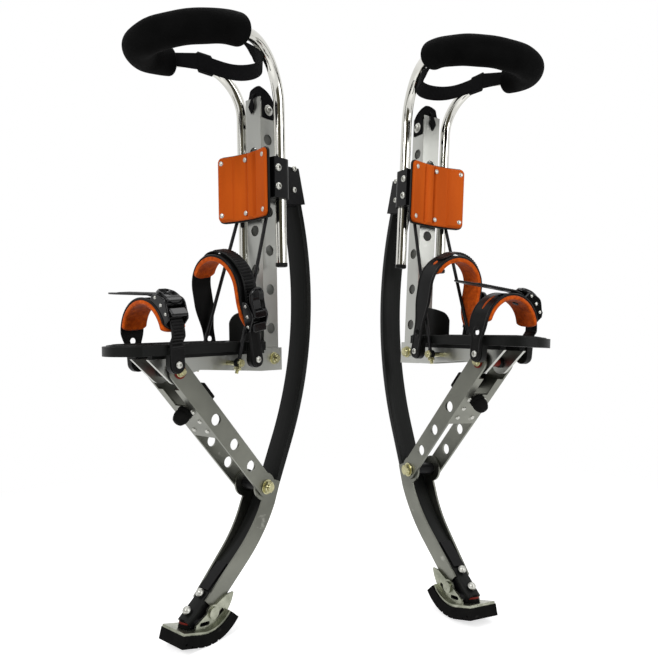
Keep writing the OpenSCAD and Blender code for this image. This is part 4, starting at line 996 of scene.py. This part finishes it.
def foot_half(x):
    """Half width of the foot plate: sqrt(R^2 - (x - middle)^2) at heel and toe, a waist between the straps."""
    heel = np.where(x < HEEL_MID, np.sqrt(np.clip(HEEL_ROUND**2 - (x - HEEL_MID) ** 2, 0, None)), FOOT_HALF)
    toe = np.where(x > TOE_MID, np.sqrt(np.clip(TOE_ROUND**2 - (x - TOE_MID) ** 2, 0, None)), FOOT_HALF)
    waist = smooth((x - WAIST[0]) / 7) * smooth((WAIST[1] - x) / 7)
    return np.minimum(np.minimum(heel, toe), FOOT_HALF) - (FOOT_HALF - WAIST_HALF) * waist


def rim_path(inset):
    """Round the plate at its half width less an inset: out along one side, round the toe and back."""
    x = RIM_FROM + (TOE_MID + TOE_ROUND - inset - RIM_FROM) * np.sin(np.linspace(0, np.pi / 2, 160))
    y = np.clip(foot_half(x + inset * (x > TOE_MID)) - inset, 0, None)
    return mirrored(np.stack([x, y, FOOT_Z + 0.2 + 0 * x], axis=-1))


def tread():
    """Ribs across the sole: a rounded square wave along x, eased to nothing at the tread's edge."""
    x = np.linspace(*TREAD_X, 240)
    along, across = np.meshgrid(x, outwards(60) * TREAD_HALF, indexing="ij")
    edge = np.minimum(np.minimum(along - x[0], x[-1] - along), TREAD_HALF - np.abs(across))
    wave = smooth(0.5 + 1.4 * np.sin(2 * np.pi * along / RIB_PITCH)) * smooth(1.5 - np.abs(across) / 30)
    middle = np.stack([along, across, FOOT_Z + 1.6 + 0 * along], axis=-1)
    return shell(middle, thickness(edge, TREAD_T, 0.8), RIB_UP * wave * smooth(edge / 3), UP)


for side in SIDES:
    bead = capped(swept(rim_path(RIM_IN), RIM_R * circle(14), UP))
    fit("foot_rim", side, [(bead, True)], BLACK_PLASTIC, "frames", "black_plastic")
    fit("foot_tread", side, tread(), RUBBER, "frames", "black_rubber")
print("foot plate reaches", TOE_MID + TOE_ROUND, "mm forward")

# %% [markdown]
# A strap is a line with a width: a straight leg up from its bolt, an arch over the instep and a leg down again. The
# arch is a circle, and the distance along the strap places everything on it. A ribbon is a shell over that line. A hole
# splits the ribbon into two halves that part round a circle and meet again, which is cleaner than a Boolean.

# %% Strap lines and ribbons
class Strap:
    """One strap's sizes: bolt, lean, inner radius of the arch and height where the arch starts."""

    def __init__(self, bolt, lean, radius, height):
        self.base = np.array([bolt[0], 0.0, bolt[1]])
        self.turn = about_y(np.radians(lean))
        self.radius, self.height = radius, height
        self.arch = np.pi * radius

    def place(self, points):
        """Strap millimetres to stilt millimetres: lean forward about the bolts."""
        return points @ self.turn.T + self.base

    def line(self, s, turn=np.pi, radius=None):
        """Point and outward normal at distance s: leg below 0, arch to the turn, then straight on."""
        radius = radius or self.radius
        angle = np.clip(s / radius, 0, turn)
        out = np.stack([0 * s, np.cos(angle), np.sin(angle)], axis=-1)
        ahead = np.stack([0 * s, -np.sin(angle), np.cos(angle)], axis=-1)
        beyond = np.maximum(s - radius * turn, 0)[:, None] + np.minimum(s, 0)[:, None]
        return radius * out + beyond * ahead + (0, 0, self.height), out

    def ribbon(self, s, half_w, thick, lift, relief=None, edge_r=None, bent=None, hole=None):
        """A shell over line + x * forward + (lift + thick / 2) * out, with x from -half_w to half_w.

        relief(s, x, edge) raises the outer face; bent holds the line's turn and radius; hole a distance and radius."""
        at, out = self.line(s, *(bent or ()))
        s, half_w, out = s[:, None], half_w[:, None], out[:, None]
        thick, lift = (np.broadcast_to(np.asarray(value, float), len(s))[:, None] for value in (thick, lift))
        strips = [half_w * spread(30)]
        if hole:
            inner = np.sqrt(np.clip(hole[1] ** 2 - (s - hole[0]) ** 2, 0, None))
            strips = [way * (inner + (half_w - inner) * (spread(30) + 1) / 2) for way in (-1, 1)]
        patches = []
        for x in strips:
            edge = np.minimum(half_w - np.abs(x), np.minimum(s - s[0], s[-1] - s))
            if hole:
                edge = np.minimum(edge, np.hypot(s - hole[0], x) - hole[1])
            middle = at[:, None] + x[..., None] * FORWARD + (lift + thick / 2)[..., None] * out
            half = thickness(edge, thick, edge_r or thick / 2)
            patches += shell(middle, half, relief(s, x, edge) if relief else 0.0, out)
        return [(self.place(points), ring) for points, ring in patches]


ANKLE = Strap(ANKLE_BOLT, 10.0, 54.0, 118.0)
TOE = Strap(TOE_BOLT, 4.0, 53.0, 43.0)
STRAPS = {"ankle": ANKLE, "toe": TOE}
print("arches of", round(ANKLE.arch), "and", round(TOE.arch), "mm")

# %% [markdown]
# What changes along a strap is its width and its height. A width makes the round lug at a bolt and the round or pointed
# end, a bead runs along a band's edge, and teeth are a saw-tooth height along the ladder strap. They could be meshes
# joined on, but as small functions of the distance they leave no seam, and the straps below can share them.

# %% Lugs, ends, beads and teeth
LUG_R, BAND_T, BAND_HALF, PAD_T, PAD_HALF = 12.0, 3.0, 20.0, 7.0, 21.0
LADDER_HALF, LADDER_T, LADDER_LIFT = 12.0, 2.5, 6.0
TOOTH, TOOTH_PITCH, TOOTH_HALF = 1.5, 4.6, 10.6


def lug(above):
    """Half width near a bolt: sqrt(r^2 - above^2) below it and r above it."""
    return np.where(above < 0, np.sqrt(np.clip(LUG_R**2 - np.minimum(above, 0) ** 2, 0, None)), LUG_R)


def band_half(above, start, over):
    """Half width of a band: a lug at its bolt that widens over a stretch above it."""
    return lug(above) + (BAND_HALF - LUG_R) * smooth((above - start) / over)


def round_end(left, radius, half_w):
    """Half width that closes in an arc at a ribbon's end: half_w * sqrt(1 - t^2), with t = 1 - left / radius."""
    t = np.clip(1 - left / radius, 0, 1)
    return half_w * np.sqrt(1 - t * t)


def rows_round(s, hole):
    """The distances with more of them where a hole's edge curves."""
    return np.sort(np.concatenate([s, hole[0] + hole[1] * np.sin(np.linspace(-np.pi / 2, np.pi / 2, 21))]))


def edge_bead(s, x, edge):
    """A moulded bead along a band's edge: a smoothstep up, then one down."""
    return 0.7 * smooth((edge - 0.6) / 1.2) * smooth((4.6 - edge) / 1.4)


def teeth(first, last):
    """A saw tooth along the strap: in each pitch a slow smoothstep up and a quick one down, clear of the edges."""
    def height(s, x, edge):
        phase = (s / TOOTH_PITCH) % 1
        tooth = smooth(phase / 0.55) * smooth((1 - phase) / 0.22)
        within = smooth((s - first) / 2) * smooth((last - s) / 2)
        return TOOTH * tooth * within * smooth((TOOTH_HALF - np.abs(x)) / 0.9)
    return height


print("a lug is", 2 * lug(np.array([-6.0, 0.0])).round(1), "mm wide below and at its bolt")

# %% [markdown]
# The ankle strap is a wide black band with a thick orange lining that thins out on the buckle's side, and a ladder
# strap that runs from the buckle over the top. The toe strap's band comes from the far side, and its ladder comes up
# from the near bolt, through the buckle, and leaves a free tongue. Each far leg has a spare adjusting hole above its
# bolt.

# %% Bands, linings and ladders
HOLE_ABOVE, HOLE_R = 34.0, 4.8
PAD_LOW, LADDER_LOW, TONGUE, PAD_GAP = -68.0, -58.0, 55.0, 0.1
PAD_END, LADDER_END, TOE_BAND_FROM = np.radians(156), np.radians(128), np.radians(8)


def ankle_parts():
    """Band, lining and ladder of the ankle strap, in that order."""
    hole = (ANKLE.arch + ANKLE.height - HOLE_ABOVE, HOLE_R)
    s = rows_round(-ANKLE.height - LUG_R + (ANKLE.arch + 2 * ANKLE.height + 2 * LUG_R) * dense(260), hole)
    above = np.minimum(s, ANKLE.arch - s) + ANKLE.height
    half_w = band_half(above, 44, 50)
    band = ANKLE.ribbon(s, half_w, BAND_T, 0.0, edge_bead, 1.2, hole=hole)
    s = PAD_LOW + (ANKLE.radius * PAD_END - PAD_LOW) * dense(170)
    half_w = np.minimum(round_end(s - s[0], 30.0, PAD_HALF), round_end(s[-1] - s, 9.0, PAD_HALF))
    thick = PAD_T - 4.0 * smooth((-18 - s) / 40)
    lining = ANKLE.ribbon(s, half_w, thick, -thick - PAD_GAP, None, 1.4)
    last = ANKLE.radius * LADDER_END
    s = np.linspace(LADDER_LOW, last, 420)
    half_w = round_end(last - s, 9.0, LADDER_HALF) * (1 + 0.12 * smooth((s - 90) / 8))
    lift = LADDER_LIFT - 2.7 * smooth((s - 90) / 20)
    ladder = ANKLE.ribbon(s, half_w, LADDER_T, lift, teeth(LADDER_LOW, 86), 0.9)
    return band, lining, ladder


def toe_parts():
    """Band, lining and ladder of the toe strap."""
    first = TOE.radius * TOE_BAND_FROM
    hole = (TOE.arch + TOE.height - HOLE_ABOVE, HOLE_R)
    s = rows_round(first + (TOE.arch + TOE.height + LUG_R - first) * dense(200), hole)
    above = TOE.arch + TOE.height - s
    half_w = np.minimum(band_half(above, 18, 32), round_end(s - first, 13.0, BAND_HALF))
    band = TOE.ribbon(s, half_w, BAND_T, 0.0, edge_bead, 1.2, hole=hole)
    s = 5 + (TOE.arch - 13) * dense(150)
    half_w = round_end(np.minimum(s - s[0], s[-1] - s), 7.0, PAD_HALF)
    lining = TOE.ribbon(s, half_w, PAD_T, -PAD_T - PAD_GAP, None, 3.0)
    bent = (np.pi / 2, TOE.radius + LADDER_LIFT)
    top = bent[0] * bent[1]
    last = top + TOE.radius + TONGUE
    s = -TOE.height - LUG_R + (last + TOE.height + LUG_R) * (0.25 * dense(560) + 0.75 * np.linspace(0, 1, 560))
    half_w = np.minimum(lug(s + TOE.height), round_end(last - s, 40.0, LADDER_HALF))
    lift = 0.06 * np.clip(s - top, 0, None) - LADDER_LIFT * (1 - smooth((s + 12) / 11))
    ladder = TOE.ribbon(s, half_w, LADDER_T, lift, teeth(-20, last - 36), 0.9, bent)
    return band, lining, ladder


for side in SIDES:
    for name, (band, lining, ladder) in (("ankle", ankle_parts()), ("toe", toe_parts())):
        strap = f"{side}_{name}_strap"
        fit(f"{name}_band", side, band, STRAP, strap, "strap_plastic", strap)
        fit(f"{name}_ladder", side, ladder, STRAP, strap, "strap_plastic", strap, crease=30)
        pad = fit(f"{name}_pad", side, lining, LINING, strap, "orange_lining", f"{side}_{name}_lining")
print("the toe's ladder has", len(ladder[0][0]), "rows")

# %% [markdown]
# A ratchet buckle has a base plate on the band, two cheeks with three bright pin heads each and a cover over the
# ladder. Modelling it in place on a leaning strap is awkward, so it is drawn upright, in the buckle's own millimetres,
# and one function sets every point on the strap. The cheek is a flat shell whose height is a smooth hump over the pin.

# %% Buckles
BUCKLE = {"ankle": (0.0, 72.0), "toe": (np.radians(42), 43.0)}
BASE = {"ankle": (-66.0, -28.0), "toe": TOE.radius * np.radians([25, 57])}
CHEEK_X, CHEEK_T, CHEEK_LOW, CHEEK_HIGH = 16.5, 3.0, -26.0, 24.0
PIN_HEADS = ((7.5, 16.5, 2.7), (8.5, 0.0, 2.9), (7.0, -16.0, 2.7))
COVER_AT, COVER_SIZES = np.array([0.0, 13.0, -18.6]), (7.4, 14.6, 6.0, 4.0, 2.4)


def on_buckle(name, patches):
    """Patches in buckle millimetres, x across, y out of the band and z along it, in stilt millimetres."""
    strap, (angle, height) = STRAPS[name], BUCKLE[name]
    c, s = np.cos(angle), np.sin(angle)
    moved = []
    for points, ring in patches:
        out, along = strap.radius + BAND_T + points[..., 1], points[..., 2]
        standing = np.stack([points[..., 0], out * c - along * s, height + out * s + along * c], axis=-1)
        moved.append((strap.place(standing), ring))
    return moved


def cheek(name, way):
    """A hump of y over z: 9 + 11 exp(-z^2 / 260), standing on the band's own curve."""
    z = CHEEK_LOW + (CHEEK_HIGH - CHEEK_LOW) * dense(50)
    outer = STRAPS[name].radius + BAND_T
    foot = np.sqrt(outer**2 - z * z) - outer if name == "toe" else 0 * z
    left = np.minimum(z - CHEEK_LOW, CHEEK_HIGH - z)
    top = (9 + 11 * np.exp(-(z**2) / 260)) * round_end(left + 1, 8.0, 1.0)
    y = foot + dense(36)[:, None] * (top - foot)
    edge = np.minimum(np.minimum(top - y, y - foot), left)
    middle = np.stack([way * CHEEK_X + 0 * y, y, z + 0 * y], axis=-1)
    return shell(middle, thickness(edge, CHEEK_T, 1.2), 0.0, FORWARD)


def base_plate(name):
    """A ribbon with round ends under the buckle, on the strap's own line."""
    low, high = BASE[name]
    s = low + (high - low) * dense(50)
    half_w = round_end(np.minimum(s - low, high - s), 6.0, 18.0)
    return STRAPS[name].ribbon(s, half_w, 2.5, BAND_T, None, 1.0)


for side in SIDES:
    for name in STRAPS:
        cover = flat_plate(COVER_AT, UP, FORWARD, *COVER_SIZES)
        ratchet = base_plate(name) + on_buckle(name, cheek(name, -1) + cheek(name, 1) + cover)
        body = f"{side}_{name}_strap"
        fit(f"{name}_ratchet", side, ratchet, GLOSS, body, "strap_plastic", f"{side}_{name}_buckle")
        heads = [rivet((way * (CHEEK_X + CHEEK_T / 2 - 0.2), y, z), (way, 0, 0), radius, 1.5)
                 for way in (-1, 1) for y, z, radius in PIN_HEADS]
        fit(f"{name}_pin_heads", side, on_buckle(name, heads), STEEL, body, "bright_tube")
print("buckles on", list(STRAPS))

# %% [markdown]
# The lever that opens the ratchet is a thick paddle with a raised rim round a dished face, on a round hub. It rides on
# its own hinge. The toe's lever is shorter and bends with its strap. Depth is a relief on a shell, so the dish needs no
# cutting.

# %% Levers
HUB_OUT, LEVER_HALF, LEVER_T, LEVER_TAIL = 13.0, 14.4, 7.0, 5
LEVER_LIFT, LEVER_KICK, LEVER_RIM, LEVER_DISH = 4, 4.5, 1.2, 5.6
LEVERS = {"ankle": (45.0, 600.0), "toe": (32.0, 78.0)}
HUB_HALF = [(LEVER_HALF - 1, 5.6), (LEVER_HALF, 4.6), (LEVER_HALF, 0)]
HUB = [(-a, r) for a, r in HUB_HALF[::-1]] + HUB_HALF


def lever(name):
    """A paddle, y = hub + lift - z^2 / bend + kick, with a raised rim, a dish and a hub round the pin."""
    length, bend_r = LEVERS[name]
    z = -LEVER_TAIL + (length + LEVER_TAIL) * dense(110)
    y = HUB_OUT + LEVER_LIFT - z * z / bend_r + LEVER_KICK * smooth((z - 22) / 24)
    half_w = np.minimum(round_end(z[-1] - z, 14.0, LEVER_HALF), round_end(z - z[0], 5.0, LEVER_HALF))
    x = half_w[:, None] * spread(50)
    edge = np.minimum(half_w[:, None] - np.abs(x), np.minimum(z - z[0], z[-1] - z)[:, None])
    dish = smooth((edge - 2.5) / 5) * smooth((z - 6) / 5)[:, None]
    middle = np.stack([x, y[:, None] + 0 * x, z[:, None] + 0 * x], axis=-1)
    relief = LEVER_RIM * smooth(edge / 2) - LEVER_DISH * dish
    patches = shell(middle, thickness(edge, LEVER_T, 2.6), relief, LEFTWARDS)
    return on_buckle(name, [*patches, (turned(HUB, (0, HUB_OUT, 0), FORWARD), True)])


for side in SIDES:
    for name in STRAPS:
        body = f"{side}_{name}_lever"
        fit(f"{name}_paddle", side, lever(name), GLOSS, body, "strap_plastic", body)
print("levers reach", {name: length for name, (length, bend_r) in LEVERS.items()})

# %% [markdown]
# Small trim on the straps: an orange slot where the lining shows through each band, and a black rivet that holds the
# toe lining from inside. Real slots would need holes in the band; a lens that stands a hair above it looks the same.

# %% Slots and lining rivet
SLOTS = {"ankle": (130.0, 140.0, 3.4), "toe": (116.0, 150.0, 2.3)}
PAD_RIVET = np.radians(64)


def slot_patch(name):
    """A lens of lining that stands a hair above the band: half width w sqrt(1 - t^2), t from -1 to 1."""
    strap = STRAPS[name]
    first, last = strap.radius * np.radians(SLOTS[name][:2])
    s = first + (last - first) * dense(40)
    half_w = SLOTS[name][2] * np.sqrt(np.clip(1 - (2 * (s - first) / (last - first) - 1) ** 2, 0, 1))
    return strap.ribbon(s, half_w, 0.7, BAND_T - 0.3, None, 0.35)


inward = -np.array([0.0, np.cos(PAD_RIVET), np.sin(PAD_RIVET)])
rivet_at = (0, 0, TOE.height) - (TOE.radius - PAD_T - 0.3) * inward
for side in SIDES:
    for name in STRAPS:
        fit(f"{name}_slot", side, slot_patch(name), LINING, f"{side}_{name}_strap", "orange_lining")
    points, ring = rivet(rivet_at, inward, 5.6, 1.2)
    fit("toe_pad_rivet", side, [(TOE.place(points), ring)], BLACK_PLASTIC, f"{side}_toe_strap", "strap_plastic")
print("slots", SLOTS)

# %% [markdown]
# Webbing: a belt hangs behind the leg between the two arms. On the side of its slide it runs into the foam, and on the
# other side it falls lower and twists up to the tube. A cloth simulation could hang it, but its line is known, so a
# ribbon along a curve does, with the sag in the formula. The two belts are mirror images.

# %% Webbing belt
BELT_AT, BELT_REACH, BELT_IN = np.array([98.0, 0.0, 927.0]), np.array([72.0, 78.0, 0.0]), 18.0
BELT_HALF_W, BELT_T, BELT_FALL, BELT_SAG, BELT_END = 13.5, 2.2, 13.0, 4.0, np.radians(82)
BELT_TILT, BELT_ROLL = (0.12, 0.0, 1.0), 0.18


def belt_frame(angle, hand):
    """Middle line, an ellipse less its fall and inset, and width and outward directions, at angles from the rear."""
    out = np.stack([-np.cos(angle), np.sin(angle), 0 * angle], axis=-1)
    near = hand * np.sin(angle)
    fall = BELT_FALL * near + BELT_SAG * np.cos(angle) ** 2
    inset = BELT_IN * smooth(-near) * np.sin(angle)
    at = BELT_AT + BELT_REACH * out - np.stack([0 * angle, inset, fall], axis=-1)
    across = unit(BELT_TILT + BELT_ROLL * np.sin(2.2 * angle + 0.4)[:, None] * out)
    return at, across, unit(np.cross(across, np.gradient(at, axis=0)))


def cloth_strip(at, across, out, half_w, thick):
    """A flat woven strip with thin round edges: line + x * across."""
    x = half_w * spread(22) + 0 * at[:, :1]
    along = travelled(at[:, None] + 0 * x[..., None], 0)
    edge = np.minimum(half_w - np.abs(x), np.minimum(along, along[-1] - along)[:, None])
    middle = at[:, None] + x[..., None] * across[:, None]
    return shell(middle, thickness(edge, thick, thick / 2), 0.0, out[:, None])


belts = {}
for side, hand in HANDS.items():
    belts[side] = cloth_strip(*belt_frame(np.linspace(-BELT_END, BELT_END, 110), hand), BELT_HALF_W, BELT_T)
print("belt falls to z", round(float(belts["left"][0][0][..., 2].min())))

# %% [markdown]
# Each end of the belt could be pinned in a simulation. Here it is a straight blend between the belt's edge and a line,
# either along the tube or in the foam, so the cloth twists by itself. The slide is three round bars across the belt,
# joined by a rail along each edge.

# %% Belt ends and slide
TWIST_COLUMNS, SLIDE_AT, BAR_R, RAIL_R, BAR_OUT = 24, np.radians(-70), 1.9, 2.0, 1.2
TUBE_IN, TUBE_UNDER, FOAM_IN, FOAM_HALF_W = 5.0, 8.0, 11.0, 10
sewn_from = (bend(np.pi / 2 + SLOPE) + bow(np.pi / 2 + grip_splay)) / 2
sewn_to = bow(np.radians(76) + grip_splay)


def twist(way, hand):
    """The belt's end: (1 - t) * edge + t * line, to a line under the near tube or into the foam on the far side."""
    at, across, out = belt_frame(way * np.linspace(BELT_END - 0.05, BELT_END + 0.05, 3), hand)
    edge_line = at[1] + np.linspace(-BELT_HALF_W, BELT_HALF_W, TWIST_COLUMNS)[:, None] * across[1]
    last_line = np.linspace(sewn_from, sewn_to, TWIST_COLUMNS) * (1, way, 1) + (0, -way * TUBE_IN, -TUBE_UNDER)
    if way != hand:
        inside = np.linspace(-FOAM_HALF_W, FOAM_HALF_W, TWIST_COLUMNS)[:, None] * across[1]
        last_line = sewn_to * (1, way, 1) + (0, -way * FOAM_IN, 0) + inside
    t = smooth(np.linspace(0, 1, 26))[:, None, None]
    middle = (1 - t) * edge_line + t * last_line
    t = t[..., 0]
    beside = 18 * (1 - np.abs(np.linspace(-1, 1, TWIST_COLUMNS))) + 0 * middle[..., 0]
    edge = np.minimum(beside, 30 * np.minimum(t + 0.02, 1.02 - t))
    edge[[0, -1]] = 0
    edge[:, [0, -1]] = 0
    return shell(middle, thickness(edge, BELT_T, 1.0))


def slide(hand):
    """A three-bar slide: round bars across the belt, joined by a rail along each edge."""
    at, across, out = belt_frame(hand * SLIDE_AT + np.radians([-10, -5, 0, 5, 10]), hand)
    reach = BELT_HALF_W + 1.5
    ends = np.linspace(-reach, reach, 16)[:, None]
    patches = []
    for bar in (0, 2, 4):
        path = at[bar] + ends * across[bar] + BAR_OUT * out[bar]
        patches.append((capped(swept(path, BAR_R * circle(16), out[bar])), True))
    for way in (-1, 1):
        rail = at + way * reach * across + BAR_OUT * out
        patches.append((capped(swept(rail, RAIL_R * circle(16), across[2])), True))
    return patches


for side, hand in HANDS.items():
    strips = belts[side] + twist(-1, hand) + twist(1, hand)
    fit("cuff_belt", side, strips, WEBBING, f"{side}_cuff", "webbing", f"{side}_cuff_webbing", crease=60)
    fit("belt_slide", side, slide(hand), BLACK_PLASTIC, f"{side}_cuff", "black_plastic")
print("the belt is sewn on from", np.round(sewn_from), "to", np.round(sewn_to))

# %% [markdown]
# The tab on the upright is a strip bolted to both sides and folded over the top. The fold stands off the metal as an
# arch, leans and rolls to the front and is drawn in there, and a tail hangs from it: a neck that widens to a diamond.
# Both are ribbons with a changing width, which keeps the weave running along them.

# %% Webbing tab
TAB_BOLT_Z, UP_HALF, UP_FRONT, TAB_T = 860.0, 18.0, 17.0, 2.2
TAB_LOW, TAB_BEND, TAB_RISE, TAB_HALF = 846.0, 874.0, 16.0, 13.0
TAB_LEAN, TAB_ROLL, LEAN_FROM, LEAN_OVER = 13, np.radians(80), 876, 11
TAIL_TOP, TAIL_LONG = 889.0, 35.0


def tab_strip(hand):
    """Sides, then an arch: y = half cos(a), z = bend + rise sin(a)^0.7, higher on one side, that leans forward."""
    half, arc = UP_HALF + TAB_T / 2 + 0.1, np.linspace(0, np.pi, 60)
    straight = np.linspace(TAB_LOW, TAB_BEND, 20)[:-1]
    y = np.concatenate([half + 0 * straight, half * np.cos(arc), -half + 0 * straight])
    rise = TAB_RISE * np.sin(arc) ** 0.7 * (1 + 0.25 * hand * np.cos(arc))
    z = np.concatenate([straight, TAB_BEND + rise, straight[::-1]])
    lean = smooth((z - LEAN_FROM) / LEAN_OVER)
    roll = TAB_ROLL * lean
    at = np.stack([TAB_LEAN * lean, y, z], axis=-1)
    across = np.stack([np.cos(roll), 0 * roll, -np.sin(roll)], axis=-1)
    out = unit(np.cross(np.gradient(at, axis=0), across))
    half_w = TAB_HALF - 1.5 * lean[:, None]
    x = half_w * spread(30)
    gone = travelled(at[:, None], 0)
    edge = np.minimum(half_w - np.abs(x), np.minimum(gone, gone[-1] - gone)[:, None])
    pucker = np.abs(np.sin(0.9 * x)) * lean[:, None]
    middle = at[:, None] + x[..., None] * across[:, None] + pucker[..., None] * out[:, None]
    return shell(middle, thickness(edge, TAB_T, 1.0), 0.0, out[:, None])


def tab_tail(hand):
    """A ribbon whose half width goes over its length from a narrow neck to a diamond and a point."""
    t = np.linspace(0, 1, 60)
    half_w = np.interp(t, (0, 0.35, 0.65, 1), (4.2, 3.0, 7.0, 0.5))
    x = UP_FRONT + 1.6 + 2 * np.sin(np.pi * t) - 3 * smooth(1 - t / 0.15)
    at = np.stack([x, hand * (3 - 5 * t), TAIL_TOP - TAIL_LONG * t], axis=-1)
    c = outwards(20)
    middle = at[:, None] + (half_w[:, None] * c)[..., None] * LEFTWARDS
    edge = np.minimum(half_w[:, None] * (1 - np.abs(c)), TAIL_LONG * np.minimum(t, 1 - t)[:, None])
    out = unit(np.cross(LEFTWARDS, np.gradient(at, axis=0)))
    return shell(middle, thickness(edge, 2.0, 1.0), 0.0, out[:, None])


for side, hand in HANDS.items():
    strips = tab_strip(hand) + tab_tail(hand)
    fit("upright_tab", side, strips, WEBBING, "frames", "webbing", "webbing_tabs", crease=60)
    bolt = []
    for way in (-1, 1):
        axis, face = (0, way, 0), UP_HALF + TAB_T
        bolt.append(washer((0, way * face, TAB_BOLT_Z), axis, 9.2))
        bolt.append(cap_screw((0, way * (face + WASHER_T), TAB_BOLT_Z), axis, 5.6, 4.0))
    fit("tab_bolt", side, bolt, STEEL, "frames", "bright_tube", "webbing_tabs", crease=35)
print("tab's arch rises to z", TAB_BEND + TAB_RISE)

# %% [markdown]
# The camera looks at the pair from about a metre in front, at knee height, nearly level, with a slight roll. It could
# be aimed by a constraint, but a plain matrix stays where it is put.

# %% Camera
CAMERA_AT, CAMERA_DOWN, CAMERA_ROLL = (-0.0185, -1.1036, 0.490), np.radians(0.38), np.radians(-0.94)
scene = bpy.context.scene
camera_data = bpy.data.cameras.new("camera")
camera_data.lens, camera_data.sensor_width = 35.26, 36.0
camera = bpy.data.objects.new("camera", camera_data)
scene.collection.objects.link(camera)
level = Matrix.Rotation(np.pi / 2 - CAMERA_DOWN, 4, "X")
camera.matrix_world = Matrix.Translation(CAMERA_AT) @ level @ Matrix.Rotation(CAMERA_ROLL, 4, "Z")
bpy.context.scene.camera = camera
print("camera", CAMERA_AT)

# %% [markdown]
# The set is a white floor under a white sky. A brighter sky would wash the object out, so Light Path tells rays apart:
# the camera and mirrors see plain white, and less than a third of it lights the object, beside the lamps. Far from
# the object the floor is plain white too, and near it the floor keeps the shadow.

# %% Sky and floor
SKY_LIGHT, FLOOR_GLOW, FLOOR_REACH = 0.30, 0.67, 12.0
FLOOR_NEAR, FLOOR_FAR = 0.55, 1.3
WHITE = (1, 1, 1, 1)


def seen_ray(tree):
    """1 for a camera, glossy or transmission ray."""
    path = add(tree, "LightPath", {})
    either = calc(tree, "MAXIMUM", path["Is Camera Ray"], path["Is Glossy Ray"])
    return calc(tree, "MAXIMUM", either, path["Is Transmission Ray"])


def sky():
    """White where it is seen, a soft grey where it lights."""
    world = bpy.data.worlds.new("sky")
    world.use_nodes = True
    tree = world.node_tree
    strength = calc(tree, "MULTIPLY_ADD", seen_ray(tree), 1.0 - SKY_LIGHT, SKY_LIGHT)
    feed(tree, tree.nodes["Background"], {"Strength": strength, "Color": WHITE})
    return world


def floor_finish():
    """Diffuse white plus a glow for seen rays near the object, plain white far from it."""
    material = bpy.data.materials.new("floor_white")
    material.use_nodes = True
    tree = material.node_tree
    tree.nodes.remove(tree.nodes["Principled BSDF"])
    diffuse = add(tree, "BsdfDiffuse", {"Color": (0.8, 0.8, 0.8, 1)})[0]
    glow = add(tree, "Emission", {"Strength": calc(tree, "MULTIPLY", seen_ray(tree), FLOOR_GLOW)})[0]
    near = add(tree, "AddShader", {0: diffuse, 1: glow})[0]
    away = add(tree, "VectorMath", {0: add(tree, "TexCoord", {})["Object"]}, operation="LENGTH")["Value"]
    span = {"Value": away, "From Min": FLOOR_NEAR, "From Max": FLOOR_FAR}
    share = add(tree, "MapRange", span, interpolation_type="SMOOTHSTEP")[0]
    mixed = add(tree, "MixShader", {0: share, 1: near, 2: add(tree, "Emission", {})[0]})[0]
    feed(tree, tree.nodes["Material Output"], {"Surface": mixed})
    return material


def stage_plane(name, corners, material):
    """Four corners as a plain plane for the set."""
    mesh = bpy.data.meshes.new(name)
    mesh.from_pydata(corners, [], [(0, 1, 2, 3)])
    plane = placed(mesh, material)
    return plane


scene.world = sky()
floor_corners = [(x * FLOOR_REACH, y * FLOOR_REACH, 0) for x, y in ((-1, -1), (1, -1), (1, 1), (-1, 1))]
stage_plane("floor", floor_corners, floor_finish())
print("floor of", 2 * FLOOR_REACH, "metres each way")

# %% [markdown]
# A polished tube is only as good as what it mirrors. One olive card in front and two narrow dark ones at the sides give
# it streaks, and neither the camera nor the shadows see them. Three soft lamps light the object: key, fill and top.

# %% Cards and lamps
CARD_LOW, CARD_HIGH = 0.02, 3.2
CARDS = [("olive_card", 0.0, -2.3, 1.4, seen(84, 80, 62)), ("dark_card", -2.0, -0.5, 0.2, seen(60, 58, 50)),
         ("shade_card", 2.0, -0.5, 0.2, seen(60, 58, 50))]
LAMPS = [("key", (-1.3, -2.0, 2.1), 1.0, 36), ("fill", (1.8, -1.4, 1.2), 1.4, 18), ("top", (0.2, 0.6, 2.6), 1.6, 20)]
AIM = Vector((0, 0, 0.5))


def card(name, x, y, half_w, tone):
    """An upright card that only mirrors see, facing the object."""
    material = bpy.data.materials.new(name)
    material.use_nodes = True
    tree = material.node_tree
    feed(tree, tree.nodes["Principled BSDF"], {"Base Color": tone, "Roughness": 1.0})
    across, foot = unit(np.array([-y, x, 0.0])) * half_w, np.array([x, y, 0.0])
    round_it = ((-1, CARD_LOW), (1, CARD_LOW), (1, CARD_HIGH), (-1, CARD_HIGH))
    plane = stage_plane(name, [tuple(foot + way * across + (0, 0, z)) for way, z in round_it], material)
    plane.visible_camera = plane.visible_diffuse = plane.visible_shadow = False


def lamp(name, at, size, power):
    """A square soft lamp aimed at the middle of the object."""
    light = bpy.data.lights.new(name, "AREA")
    light.size, light.energy = size, power
    holder = bpy.data.objects.new(name, light)
    scene.collection.objects.link(holder)
    ahead = AIM - Vector(at)
    holder.matrix_world = Matrix.Translation(at) @ ahead.to_track_quat("-Z", "Y").to_matrix().to_4x4()


for sizes in CARDS:
    card(*sizes)
for sizes in LAMPS:
    lamp(*sizes)
bpy.context.scene.view_settings.view_transform = "Standard"
print("lamps", [light.name for light in bpy.data.lights])
